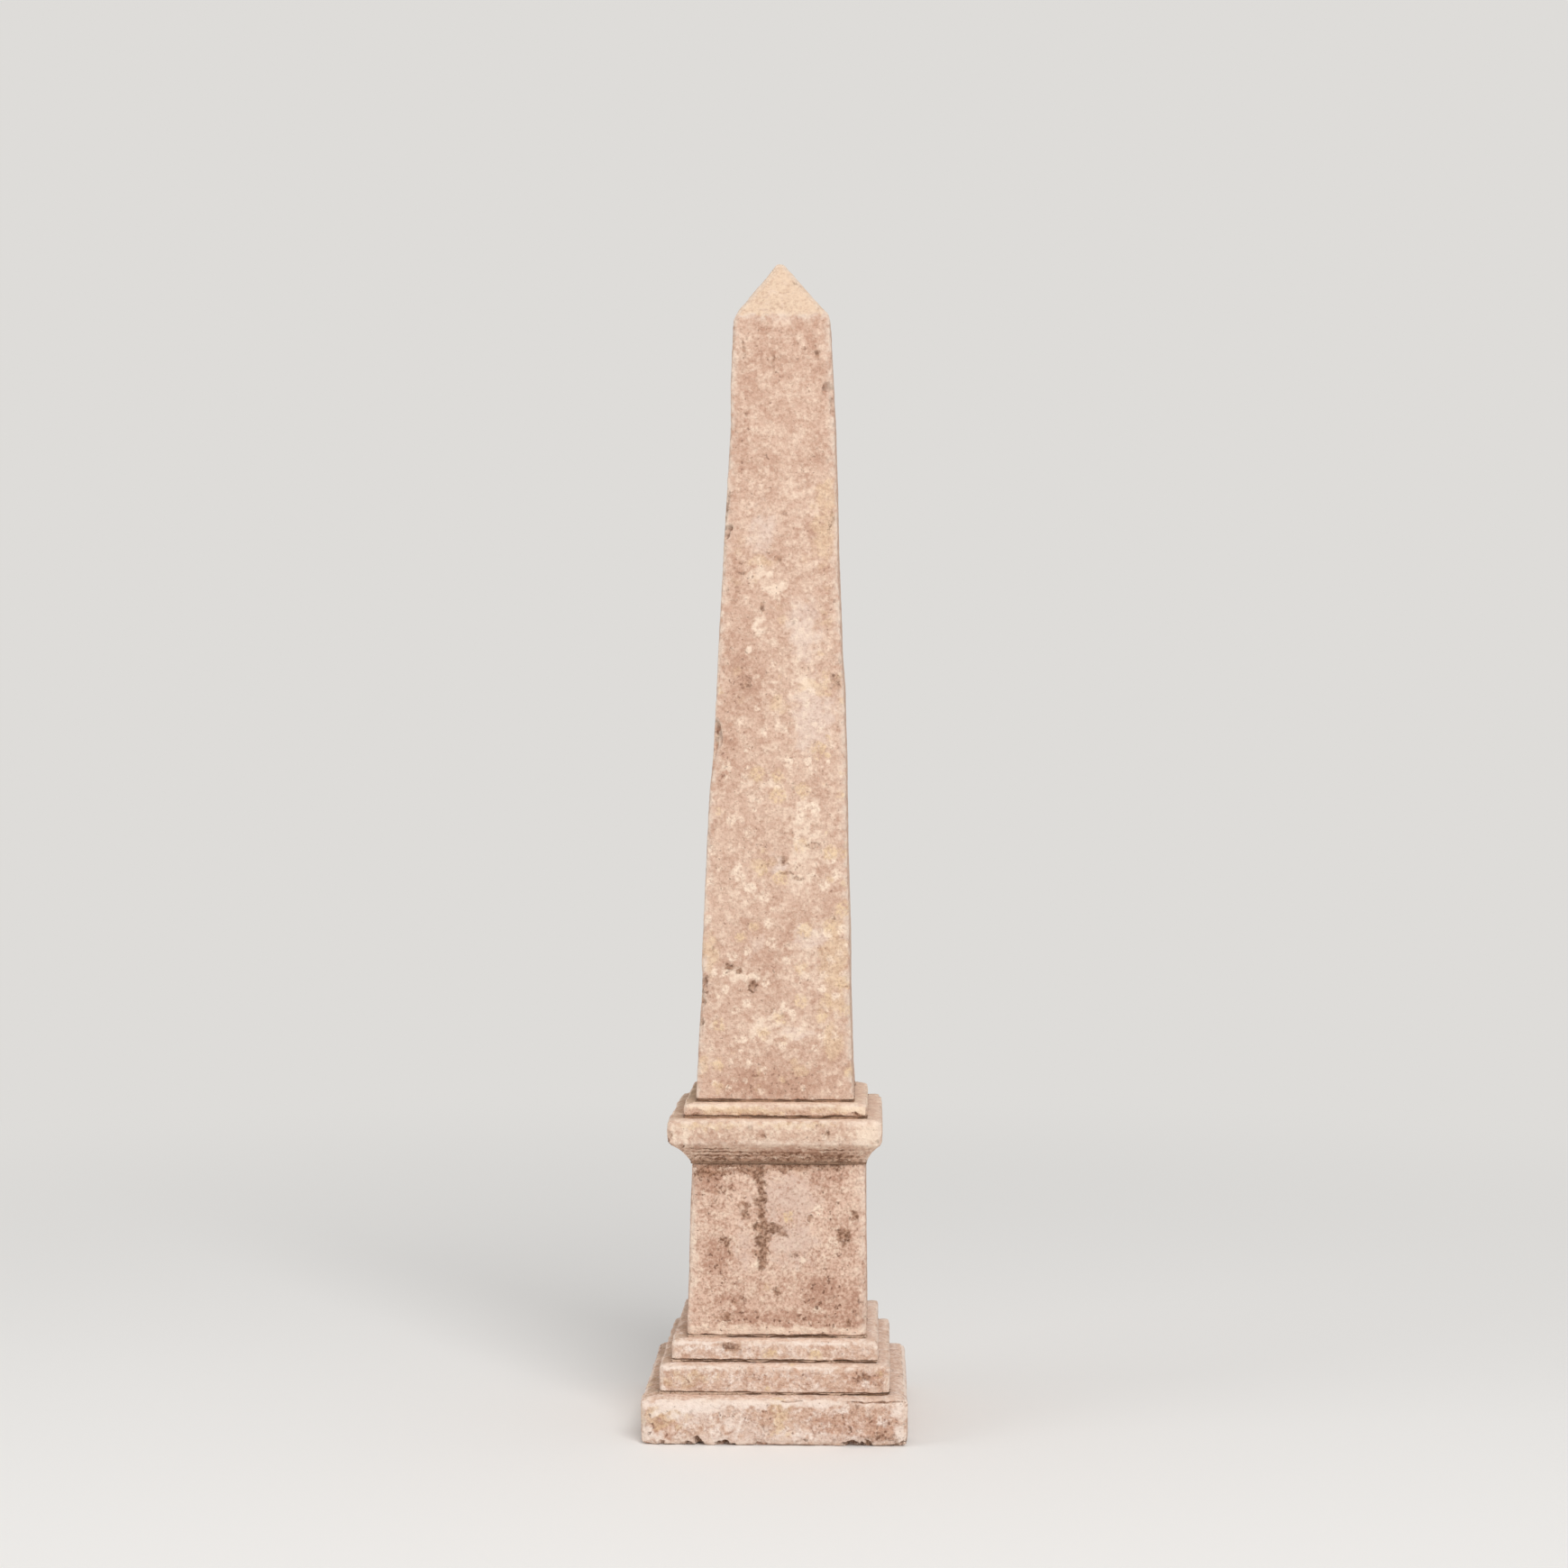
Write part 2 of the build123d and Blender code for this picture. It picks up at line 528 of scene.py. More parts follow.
class Graph:
    """Lays nodes into a tree, so that a tree is written as a list of steps."""

    def __init__(self, tree: bpy.types.NodeTree) -> None:
        """Starts on an empty tree."""
        self.tree = tree
        tree.nodes.clear()

    def node(
        self, kind: str, inputs: dict[str | int, object] | None = None, **settings: object
    ) -> bpy.types.Node:
        """Adds a node.

        Args:
            kind: The node's type.
            inputs: Its sockets by name or number, each with a value or the socket to link it to.
            **settings: Its other settings.

        Returns:
            The node.
        """
        made = self.tree.nodes.new(kind)
        for name, value in settings.items():
            setattr(made, name, value)
        self.fill(made, inputs or {})
        return made

    def math(self, operation: str, *values: object, clamp: bool = False) -> bpy.types.NodeSocket:
        """Works a sum out and gives its result."""
        inputs = dict(enumerate(values))
        return self.node("ShaderNodeMath", inputs, operation=operation, use_clamp=clamp).outputs[0]

    def vector(self, operation: str, *values: object) -> bpy.types.NodeSocket:
        """Works a vector sum out and gives its result."""
        return self.node("ShaderNodeVectorMath", dict(enumerate(values)), operation=operation).outputs[0]

    def scaled(self, vector: object, scale: object) -> bpy.types.NodeSocket:
        """Multiplies a vector or a colour by a number."""
        made = self.node("ShaderNodeVectorMath", {0: vector, "Scale": scale}, operation="SCALE")
        return made.outputs[0]

    def between(self, value: object, low: object, high: object) -> bpy.types.NodeSocket:
        """Eases a value from 0 at low to 1 at high."""
        inputs = {"Value": value, "From Min": low, "From Max": high}
        return self.node("ShaderNodeMapRange", inputs, interpolation_type="SMOOTHSTEP").outputs["Result"]

    def mix(self, share: object, first: object, second: object) -> bpy.types.NodeSocket:
        """Mixes two colours and gives the mixture."""
        inputs = {"Factor": share, 6: first, 7: second}  # by number: every kind of mixture has an A and a B
        return self.node("ShaderNodeMix", inputs, data_type="RGBA").outputs[2]

    def tint(self, mask: object, strength: float, colour: object, tinted: object) -> bpy.types.NodeSocket:
        """Turns a colour towards another where a mask is painted, as far as the strength says."""
        return self.mix(self.math("MULTIPLY", mask, strength), colour, tinted)

    def group(self, group: bpy.types.NodeTree, inputs: dict[str, object]) -> bpy.types.Node:
        """Places a shader node group with its own values.

        Args:
            group: The group.
            inputs: Its sockets by name, each with a value or the socket to link it to.

        Returns:
            The node.
        """
        made = self.tree.nodes.new("ShaderNodeGroup")
        made.node_tree = group
        self.fill(made, inputs)
        return made

    def fill(self, made: bpy.types.Node, inputs: dict[str | int, object]) -> None:
        """Sets a node's sockets, or links them.

        Args:
            made: The node.
            inputs: Its sockets by name or number, each with a value or the socket to link it to.
        """
        for key, value in inputs.items():
            if isinstance(value, bpy.types.NodeSocket):
                self.tree.links.new(value, made.inputs[key])
            else:
                made.inputs[key].default_value = value

    def mask(self, mask: Mask) -> bpy.types.NodeSocket:
        """Reads a mask that is painted on the mesh."""
        return self.node("ShaderNodeAttribute", attribute_name=mask.value).outputs["Fac"]

    def noise(self, place: object, size: object, seed: object, detail: float = 3.0) -> bpy.types.NodeSocket:
        """Gives cloudy noise from about 0 to 1.

        Args:
            place: Where to read it.
            size: About how far apart its highs lie.
            seed: Which noise.
            detail: How many finer layers it has.

        Returns:
            The noise's value.
        """
        scale = self.math("DIVIDE", 1.0, size)
        inputs = {"Vector": place, "W": seed, "Scale": scale, "Detail": detail, "Roughness": 0.6}
        return self.node("ShaderNodeTexNoise", inputs, noise_dimensions="4D").outputs[0]


def new_group(
    kind: str, name: str, takes: dict[str, tuple[str, object]], gives: dict[str, str]
) -> tuple[Graph, bpy.types.Node, bpy.types.Node]:
    """Starts a node group with named sockets.

    Args:
        kind: The tree's type.
        name: The group's name.
        takes: Each input's name, with its socket type and its usual value.
        gives: Each output's name, with its socket type.

    Returns:
        The group's graph, its input node and its output node.
    """
    tree = bpy.data.node_groups.new(name, kind)
    for title, (socket_type, usual) in takes.items():
        socket = tree.interface.new_socket(title, in_out="INPUT", socket_type=socket_type)
        if usual is not None:
            socket.default_value = usual
    for title, socket_type in gives.items():
        tree.interface.new_socket(title, in_out="OUTPUT", socket_type=socket_type)
    graph = Graph(tree)
    return graph, graph.node("NodeGroupInput"), graph.node("NodeGroupOutput")


class PieceTree:
    """A Geometry Nodes tree that finishes the mesh of a piece.

    Attributes:
        graph: Its graph.
        given: The sockets that give its inputs.
        leave: The node that takes its result.
    """

    def __init__(self, name: str, takes: dict[str, tuple[str, object]]) -> None:
        """Starts the tree, which takes the piece's mesh and material besides its own inputs.

        Args:
            name: The tree's name.
            takes: Each of its own inputs' names, with its socket type and its usual value.
        """
        takes = {"Geometry": ("NodeSocketGeometry", None), **takes, "Material": ("NodeSocketMaterial", None)}
        gives = {"Geometry": "NodeSocketGeometry"}
        self.graph, enter, self.leave = new_group("GeometryNodeTree", name, takes, gives)
        self.given = enter.outputs

    def read(self, mask: Mask) -> bpy.types.NodeSocket:
        """Reads a mask that is painted on the mesh."""
        made = self.graph.node("GeometryNodeInputNamedAttribute", {"Name": mask.value}, data_type="FLOAT")
        return made.outputs["Attribute"]

    def write(
        self, mask: Mask, geometry: bpy.types.NodeSocket, value: bpy.types.NodeSocket, domain: str
    ) -> bpy.types.NodeSocket:
        """Paints a mask.

        Args:
            mask: The mask.
            geometry: What it is painted on.
            value: How strong it is.
            domain: Whether each point or each instance has its own.

        Returns:
            The painted geometry.
        """
        inputs = {"Geometry": geometry, "Name": mask.value, "Value": value}
        made = self.graph.node("GeometryNodeStoreNamedAttribute", inputs, data_type="FLOAT", domain=domain)
        return made.outputs[0]

    def finish(self, *parts: bpy.types.NodeSocket) -> None:
        """Ends the tree: joins its parts, makes their instances real and sets their material.

        Args:
            *parts: The geometry that the tree has made.
        """
        joined = self.graph.node("GeometryNodeJoinGeometry")
        for part in parts:
            self.graph.tree.links.new(part, joined.inputs[0])
        real = self.graph.node("GeometryNodeRealizeInstances", {"Geometry": joined.outputs[0]})
        inputs = {"Geometry": real.outputs[0], "Material": self.given["Material"]}
        dressed = self.graph.node("GeometryNodeSetMaterial", inputs)
        self.graph.tree.links.new(dressed.outputs[0], self.leave.inputs["Geometry"])

    def apply(self, piece: bpy.types.Object, settings: dict[str, object]) -> None:
        """Runs the tree on a piece and keeps what it makes as the piece's own plain mesh.

        Args:
            piece: The piece.
            settings: The inputs to change, by name.
        """
        modifier = piece.modifiers.new(self.graph.tree.name, "NODES")
        modifier.node_group = self.graph.tree
        for item in self.graph.tree.interface.items_tree:
            if item.in_out == "INPUT" and item.name in settings:
                modifier[item.identifier] = settings[item.name]
        depsgraph = bpy.context.evaluated_depsgraph_get()
        ready = piece.evaluated_get(depsgraph)
        made = bpy.data.meshes.new_from_object(ready, preserve_all_data_layers=True, depsgraph=depsgraph)
        piece.modifiers.clear()
        old, piece.data = piece.data, made
        bpy.data.meshes.remove(old)


class WeatherTree(PieceTree):
    """The tree that swells, grains, wears and pits a stone's skin along its normals.

    Attributes:
        FLOATS: Its inputs, with their usual values.
        STRETCH: What a depth is multiplied by, because noise keeps well inside its range.
    """

    FLOATS = {
        "Swell Depth": 0.4 * MM,
        "Swell Size": 60 * MM,
        "Grain Depth": 0.25 * MM,
        "Grain Size": 5 * MM,
        "Arris Depth": 1.6 * MM,
        "Arris Size": 14 * MM,
        "Pit Depth": 0.9 * MM,
        "Pit Spacing": 11 * MM,
        "Pit Share": 0.08,
        "Seed": 0.0,
    }
    STRETCH = 4.0

    def __init__(self) -> None:
        """Builds the tree once for every stone."""
        takes = {name: ("NodeSocketFloat", usual) for name, usual in self.FLOATS.items()}
        super().__init__("weather stone", takes)
        graph, given = self.graph, self.given
        place = graph.node("GeometryNodeInputPosition").outputs[0]
        raised = graph.math("ADD", self.layer(place, "Swell"), self.layer(place, "Grain"))
        pit = self.pits(place)
        travel = graph.math("SUBTRACT", raised, self.broken_arrises(place))
        travel = graph.math("SUBTRACT", travel, graph.math("MULTIPLY", pit, given["Pit Depth"]))
        travel = graph.math("MULTIPLY", travel, self.read(Mask.FREE))
        normal = graph.node("GeometryNodeInputNormal").outputs[0]
        painted = self.write(Mask.PIT, given["Geometry"], pit, "POINT")
        inputs = {"Geometry": painted, "Offset": graph.scaled(normal, travel)}
        self.finish(graph.node("GeometryNodeSetPosition", inputs).outputs[0])

    def layer(self, place: bpy.types.NodeSocket, name: str) -> bpy.types.NodeSocket:
        """Gives a layer of noise that goes as far in as out.

        Args:
            place: Where to read it.
            name: What the inputs for its size and its depth are named after.

        Returns:
            How far the skin moves out.
        """
        noise = self.graph.noise(place, self.given[f"{name} Size"], self.given["Seed"])
        depth = self.graph.math("MULTIPLY", self.given[f"{name} Depth"], self.STRETCH)
        return self.graph.math("MULTIPLY", self.graph.math("SUBTRACT", noise, 0.5), depth)

    def broken_arrises(self, place: bpy.types.NodeSocket) -> bpy.types.NodeSocket:
        """Breaks the arrises away.

        Args:
            place: Where to read the noise that breaks them.

        Returns:
            How far the skin moves in.
        """
        seed = self.graph.math("ADD", self.given["Seed"], 7.0)
        noise = self.graph.noise(place, self.given["Arris Size"], seed, 4.0)
        broken = self.graph.math("MULTIPLY", self.graph.between(noise, 0.3, 0.75), self.given["Arris Depth"])
        return self.graph.math("MULTIPLY", broken, self.read(Mask.ARRIS))

    def pits(self, place: bpy.types.NodeSocket) -> bpy.types.NodeSocket:
        """Scatters round pits: a share of the cells of a random lattice hold one each.

        Args:
            place: Where to read the lattice.

        Returns:
            A mask of the pits.
        """
        graph, given = self.graph, self.given
        moved = graph.vector("ADD", place, given["Seed"])
        scaled = graph.scaled(moved, graph.math("DIVIDE", 1.0, given["Pit Spacing"]))
        cells = graph.node("ShaderNodeTexVoronoi", {"Vector": scaled, "Scale": 1.0}, feature="F1")
        lots = graph.node("ShaderNodeSeparateXYZ", {0: cells.outputs["Color"]}).outputs
        chosen = graph.math("LESS_THAN", lots[0], given["Pit Share"])
        shake = graph.math("SUBTRACT", graph.noise(place, 3 * MM, given["Seed"]), 0.5)
        ragged = graph.math("MULTIPLY_ADD", shake, 1.3, cells.outputs["Distance"])
        reach = graph.math("MULTIPLY_ADD", lots[1], 0.17, 0.07)
        hole = graph.between(graph.math("DIVIDE", ragged, reach), 1.2, 0.5)
        return graph.math("MULTIPLY", hole, chosen)


class CrumbTree(PieceTree):
    """The tree that strews crumbs of dirt and mortar along the open edge of a bed.

    Attributes:
        TAKES: Its inputs, with their socket types and usual values.
        FULL_TURN: How far a crumb may be turned about each axis, in radians.
        LEAST: The least share of the crumb size that a crumb has along each of its axes.
        MOST: The greatest share.
        PALEST: How pale the palest crumb is.
    """

    TAKES = {
        "Density": ("NodeSocketFloat", 20000.0),
        "Size": ("NodeSocketFloat", 1.2 * MM),
        "Seed": ("NodeSocketInt", 0),
    }
    FULL_TURN = (6.28, 6.28, 6.28)
    LEAST = (0.3, 0.3, 0.3)
    MOST = (1.0, 0.8, 0.7)
    PALEST = 0.6

    def __init__(self) -> None:
        """Builds the tree once for every bed."""
        super().__init__("strew crumbs", self.TAKES)
        graph, given = self.graph, self.given
        open_edge = graph.node("FunctionNodeCompare", {0: self.read(Mask.FREE), 1: 0.5}).outputs[0]
        inputs = {"Mesh": given["Geometry"], "Selection": open_edge, "Density": given["Density"]}
        strewn = graph.node("GeometryNodeDistributePointsOnFaces", {**inputs, "Seed": given["Seed"]})
        crumb = graph.node("GeometryNodeMeshIcoSphere", {"Radius": 1.0, "Subdivisions": 1})
        inputs = {
            "Points": strewn.outputs["Points"],
            "Instance": crumb.outputs["Mesh"],
            "Rotation": self.lot((0.0, 0.0, 0.0), self.FULL_TURN),
            "Scale": graph.scaled(self.lot(self.LEAST, self.MOST), given["Size"]),
        }
        placed = graph.node("GeometryNodeInstanceOnPoints", inputs)
        # sockets 2 and 3 hold a random number's least and most, and 0 and 1 hold a random vector's
        shade = graph.node("FunctionNodeRandomValue", {2: 0.0, 3: self.PALEST}, data_type="FLOAT")
        crumbs = self.write(Mask.CREAM, placed.outputs[0], shade.outputs[1], "INSTANCE")
        self.finish(given["Geometry"], crumbs)

    def lot(self, least: tuple[float, ...], most: tuple[float, ...]) -> bpy.types.NodeSocket:
        """Draws a vector at random for each crumb."""
        inputs = {0: least, 1: most}
        return self.graph.node("FunctionNodeRandomValue", inputs, data_type="FLOAT_VECTOR").outputs[0]


# ------------------------------------------------------------------ finishes


class EffectGroups:
    """The shader node groups that the finishes share, each built once."""

    def __init__(self) -> None:
        """Builds the groups."""
        self.grain = self.build_grain()
        self.torn = self.build_torn()
        self.spots = self.build_spots()

    @staticmethod
    def build_grain() -> bpy.types.NodeTree:
        """Builds the grain of stone: its layers of noise, and the height in millimetres that they make.

        Returns:
            The group.
        """
        takes = {"Place": ("NodeSocketVector", None), "Seed": ("NodeSocketFloat", 0.0)}
        layers = {"Broad": 80 * MM, "Medium": 22 * MM, "Small": 7.5 * MM, "Fine": 3.2 * MM}
        gives = {name: "NodeSocketFloat" for name in [*layers, "Grit", "Pepper", "Height"]}
        graph, enter, leave = new_group("ShaderNodeTree", "stone grain", takes, gives)
        place, seed = enter.outputs["Place"], enter.outputs["Seed"]
        made = {name: graph.noise(place, size, seed) for name, size in layers.items()}
        made["Grit"] = graph.noise(place, 2.8 * MM, graph.math("ADD", seed, 9.0))
        made["Pepper"] = graph.noise(place, 3.6 * MM, graph.math("ADD", seed, 14.0), 1.5)
        height = graph.math("MULTIPLY_ADD", made["Small"], 0.9, graph.math("MULTIPLY", made["Fine"], 1.6))
        height = graph.math("MULTIPLY_ADD", made["Grit"], 1.0, height)
        for name, value in {**made, "Height": height}.items():
            graph.tree.links.new(value, leave.inputs[name])
        return graph.tree

    @staticmethod
    def build_torn() -> bpy.types.NodeTree:
        """Builds the tearing of a soft mask: its edge breaks up into patches with crumbled edges.

        Returns:
            The group.
        """
        takes = {
            "Mask": ("NodeSocketFloat", 0.0),
            "Place": ("NodeSocketVector", None),
            "Seed": ("NodeSocketFloat", 0.0),
            "Size": ("NodeSocketFloat", 9 * MM),
            "Rag": ("NodeSocketFloat", 1.2),
        }
        graph, enter, leave = new_group("ShaderNodeTree", "torn mask", takes, {"Mask": "NodeSocketFloat"})
        given = enter.outputs
        noise = graph.noise(given["Place"], given["Size"], given["Seed"], 4.0)
        ragged = graph.math("MULTIPLY_ADD", graph.math("SUBTRACT", noise, 0.5), given["Rag"], given["Mask"])
        inside = graph.between(given["Mask"], 0.02, 0.3)
        torn = graph.math("MULTIPLY", graph.between(ragged, 0.2, 0.8), inside)
        graph.tree.links.new(torn, leave.inputs["Mask"])
        return graph.tree

    @staticmethod
    def build_spots() -> bpy.types.NodeTree:
        """Builds scattered crusty spots: a share of the cells of a random lattice hold one each.

        Returns:
            The group.
        """
        takes = {
            "Place": ("NodeSocketVector", None),
            "Seed": ("NodeSocketFloat", 0.0),
            "Spacing": ("NodeSocketFloat", 16 * MM),
            "Share": ("NodeSocketFloat", 0.3),
            "Reach": ("NodeSocketFloat", 0.35),
        }
        graph, enter, leave = new_group("ShaderNodeTree", "crusty spots", takes, {"Mask": "NodeSocketFloat"})
        given = enter.outputs
        shake = graph.noise(given["Place"], 5 * MM, given["Seed"], 3.0)
        moved = graph.vector("ADD", given["Place"], graph.math("MULTIPLY", given["Seed"], 0.37))
        scaled = graph.scaled(moved, graph.math("DIVIDE", 1.0, given["Spacing"]))
        cells = graph.node("ShaderNodeTexVoronoi", {"Vector": scaled, "Scale": 1.0}, feature="F1")
        lots = graph.node("ShaderNodeSeparateXYZ", {0: cells.outputs["Color"]})
        size = graph.math("MULTIPLY", given["Reach"], graph.math("MULTIPLY_ADD", lots.outputs[1], 0.9, 0.4))
        shaken = graph.math("SUBTRACT", shake, 0.5)
        ragged = graph.math("MULTIPLY_ADD", shaken, 0.5, cells.outputs["Distance"])
        spot = graph.between(graph.math("DIVIDE", ragged, size), 1.1, 0.6)
        chosen = graph.math("LESS_THAN", lots.outputs[0], given["Share"])
        graph.tree.links.new(graph.math("MULTIPLY", spot, chosen), leave.inputs["Mask"])
        return graph.tree


def new_material(name: str) -> tuple[bpy.types.Material, Graph]:
    """Starts a material.

    Args:
        name: Its name.

    Returns:
        The material and its empty graph.
    """
    made = bpy.data.materials.new(name)
    made.use_nodes = True
    return made, Graph(made.node_tree)


def matt_surface(
    graph: Graph, colour: object, roughness: object, height: object, bump: object, specular: float
) -> None:
    """Ends a material with a matt surface.

    Args:
        graph: The material's graph.
        colour: Its colour.
        roughness: Its roughness.
        height: The height of its grain in millimetres.
        bump: How strongly that grain shows.
        specular: How strongly it shines.
    """
    grain = graph.node("ShaderNodeBump", {"Height": height, "Distance": MM, "Strength": bump})
    inputs = {"Base Color": colour, "Roughness": roughness, "Normal": grain.outputs[0]}
    shader = graph.node("ShaderNodeBsdfPrincipled", inputs)
    shader.inputs["Specular IOR Level"].default_value = specular
    graph.node("ShaderNodeOutputMaterial", {"Surface": shader.outputs[0]})


@dataclass(frozen=True)
class WeatheredStone:
    """The finish of one stone: a sandy pink stone with its own share of each stain.

    Attributes:
        name: The material's name.
        seed: What its patterns start from.
        body: The stone's own colour.
        rose: The colour of its rosy patches.
        rust: The colour of the freckles where iron bleeds out.
        cream: The colour of its bleached skin.
        ochre: The colour of its lichen stains.
        lilac: The colour of its lime bloom.
        grime: The colour of its dirt, and of the painted shade in its nooks, chips and soffit and on the
            die's head.
        halo: The colour of the stain round that dirt.
        dust: The colour of the dust and painted shade on its ledges.
        edge: The colour of its worn arrises.
        rosiness: How much of it is rosy without being painted so.
        freckles: How much of it is freckled.
        paleness: How much of it is bleached without being painted so.
        lichen: The share of its lichen cells that hold a spot.
        lichen_reach: The height above which it is too dry for lichen.
        dust_and_shade_strength: How much dust lies on its ledges, and how dark their painted shade is.
        dirtiness: How dark its grime is.
        STAINED: How far a painted stain covers the stone, from 0 to 1 as the next ones do.
        CRUSTED: How far a spot of lichen does.
        BLEACH_AND_HIGHLIGHT: How far a painted pale patch does: bleached stone, and painted highlights along
            some top edges.
        WORN: How far the pale stone of a worn arris does.
        SOAKED: How far the stain round dirt does.
        LIT_LEDGE_TOP: How far the painted highlight on an open ledge top does.
        NOOK_DIRT_AND_SHADE: How far the dirt and painted shade in a nook do.
        SUNK: How far a pit is darkened.
    """

    STAINED = 0.5
    CRUSTED = 0.85
    BLEACH_AND_HIGHLIGHT = 0.7
    WORN = 0.65
    SOAKED = 0.5
    LIT_LEDGE_TOP = 0.25
    NOOK_DIRT_AND_SHADE = 0.35
    SUNK = 0.35

    name: str
    seed: float
    body: Colour = srgb(222, 189, 167)
    rose: Colour = srgb(198, 156, 134)
    rust: Colour = srgb(170, 124, 101)
    cream: Colour = srgb(250, 228, 206)
    ochre: Colour = srgb(232, 202, 158)
    lilac: Colour = srgb(230, 209, 197)
    grime: Colour = srgb(104, 66, 44)
    halo: Colour = srgb(182, 138, 108)
    dust: Colour = srgb(170, 145, 116)
    # edge: The colour of its worn arrises, and of the painted highlight on its open ledge tops.
    edge: Colour = srgb(244, 222, 204)
    rosiness: float = 0.5
    freckles: float = 0.6
    paleness: float = 0.6
    lichen: float = 0.2
    lichen_reach: float = 2.0
    dust_and_shade_strength: float = 0.75
    dirtiness: float = 1.0

    def build(self, groups: EffectGroups) -> bpy.types.Material:
        """Builds the material.

        Args:
            groups: The shared effect groups.

        Returns:
            The material.
        """
        made, graph = new_material(self.name)
        place = graph.node("ShaderNodeTexCoord").outputs["Object"]
        grain = graph.group(groups.grain, {"Place": place, "Seed": self.seed}).outputs
        grime = self.stain(graph, groups, Mask.GRIME, place, 3.5 * MM, 2.6)
        colour = self.clean_colour(graph, groups, place, grain)
        colour = self.soiled_colour(graph, groups, place, grain, colour, grime)
        dirt = graph.math("MAXIMUM", grime, graph.mask(Mask.PIT))
        roughness = graph.math("MULTIPLY_ADD", dirt, 0.06, 0.88)
        height = graph.math("MULTIPLY_ADD", grime, -0.15, graph.math("MULTIPLY", grain["Height"], 1.3))
        settled = graph.math("MULTIPLY_ADD", graph.mask(Mask.LEDGE), -0.7, 1.0)
        matt_surface(graph, colour, roughness, height, settled, 0.3)
        return made

    def stain(
        self, graph: Graph, groups: EffectGroups, mask: Mask, place: object, size: float, rag: float
    ) -> bpy.types.NodeSocket:
        """Reads a painted mask and breaks it up into grains.

        Args:
            graph: The material's graph.
            groups: The shared effect groups.
            mask: Which mask.
            place: Where to read the noise that breaks it up.
            size: How large the grains are.
            rag: How far they scatter.

        Returns:
            The broken mask.
        """
        inputs = {"Mask": graph.mask(mask), "Place": place, "Seed": self.seed + 3, "Size": size, "Rag": rag}
        return graph.group(groups.torn, inputs).outputs[0]

    def clean_colour(
        self, graph: Graph, groups: EffectGroups, place: object, grain: bpy.types.NodeOutputs
    ) -> bpy.types.NodeSocket:
        """Mixes the stone's colours before its dirt: its clouds, then its stains, grains and worn arrises.

        Args:
            graph: The material's graph.
            groups: The shared effect groups.
            place: Where to read its patterns.
            grain: The grain's layers.

        Returns:
            The colour.
        """
        clouds = graph.math("MULTIPLY_ADD", grain["Medium"], 0.5, graph.math("MULTIPLY", grain["Broad"], 0.5))
        colour = graph.tint(graph.between(clouds, 0.46, 0.62), self.rosiness, self.body, self.rose)
        grit = graph.math("MULTIPLY_ADD", grain["Small"], 0.62, graph.math("MULTIPLY", grain["Fine"], 0.38))
        colour = graph.tint(graph.between(grit, 0.42, 0.66), self.paleness, colour, self.cream)
        rose = self.stain(graph, groups, Mask.ROSE, place, 7 * MM, 1.7)
        lilac = self.stain(graph, groups, Mask.LILAC, place, 8 * MM, 1.5)
        ochre = self.stain(graph, groups, Mask.OCHRE, place, 7 * MM, 1.8)
        for mask, stained in ((rose, self.rose), (lilac, self.lilac), (ochre, self.ochre)):
            colour = graph.tint(mask, self.STAINED, colour, stained)
        colour = self.lichened_colour(graph, groups, place, grain, colour)
        gathered = graph.math("MULTIPLY_ADD", rose, 0.07, graph.math("MULTIPLY", grain["Medium"], 0.2))
        gathered = graph.math("MULTIPLY_ADD", lilac, -0.06, gathered)
        rusty = graph.between(graph.math("ADD", grain["Grit"], gathered), 0.48, 0.8)
        colour = graph.tint(rusty, self.freckles, colour, self.rust)
        # pale patches: bleached stone, and painted highlights along some top edges
        cream = self.stain(graph, groups, Mask.CREAM, place, 6 * MM, 1.8)
        colour = graph.tint(cream, self.BLEACH_AND_HIGHLIGHT, colour, self.cream)
        peppered = graph.between(graph.math("ADD", grain["Pepper"], gathered), 0.74, 0.86)
        colour = graph.tint(peppered, self.freckles, colour, self.grime)
        worn = graph.math("MULTIPLY", graph.mask(Mask.ARRIS), graph.between(grain["Small"], 0.34, 0.58))
        return graph.tint(worn, self.WORN, colour, self.edge)

    def lichened_colour(
        self, graph: Graph, groups: EffectGroups, place: object, grain: bpy.types.NodeOutputs, colour: object
    ) -> bpy.types.NodeSocket:
        """Adds spots of pale and of ochre lichen, as high as the damp reaches.

        Args:
            graph: The material's graph.
            groups: The shared effect groups.
            place: Where to read its patterns.
            grain: The grain's layers.
            colour: The colour without them.

        Returns:
            The colour with them.
        """
        height = graph.node("ShaderNodeSeparateXYZ", {"Vector": place}).outputs["Z"]
        damp = graph.between(height, self.lichen_reach, self.lichen_reach * 0.6)
        crusty = graph.math("MULTIPLY", graph.between(grain["Fine"], 0.34, 0.54), damp)
        kinds = ((0.0, 15 * MM, self.lichen, self.cream), (5.0, 21 * MM, self.lichen * 0.6, self.ochre))
        for offset, spacing, share, crust in kinds:
            inputs = {"Place": place, "Seed": self.seed + offset, "Spacing": spacing, "Share": share}
            spot = graph.math("MULTIPLY", graph.group(groups.spots, inputs).outputs[0], crusty)
            colour = graph.tint(spot, self.CRUSTED, colour, crust)
        return colour

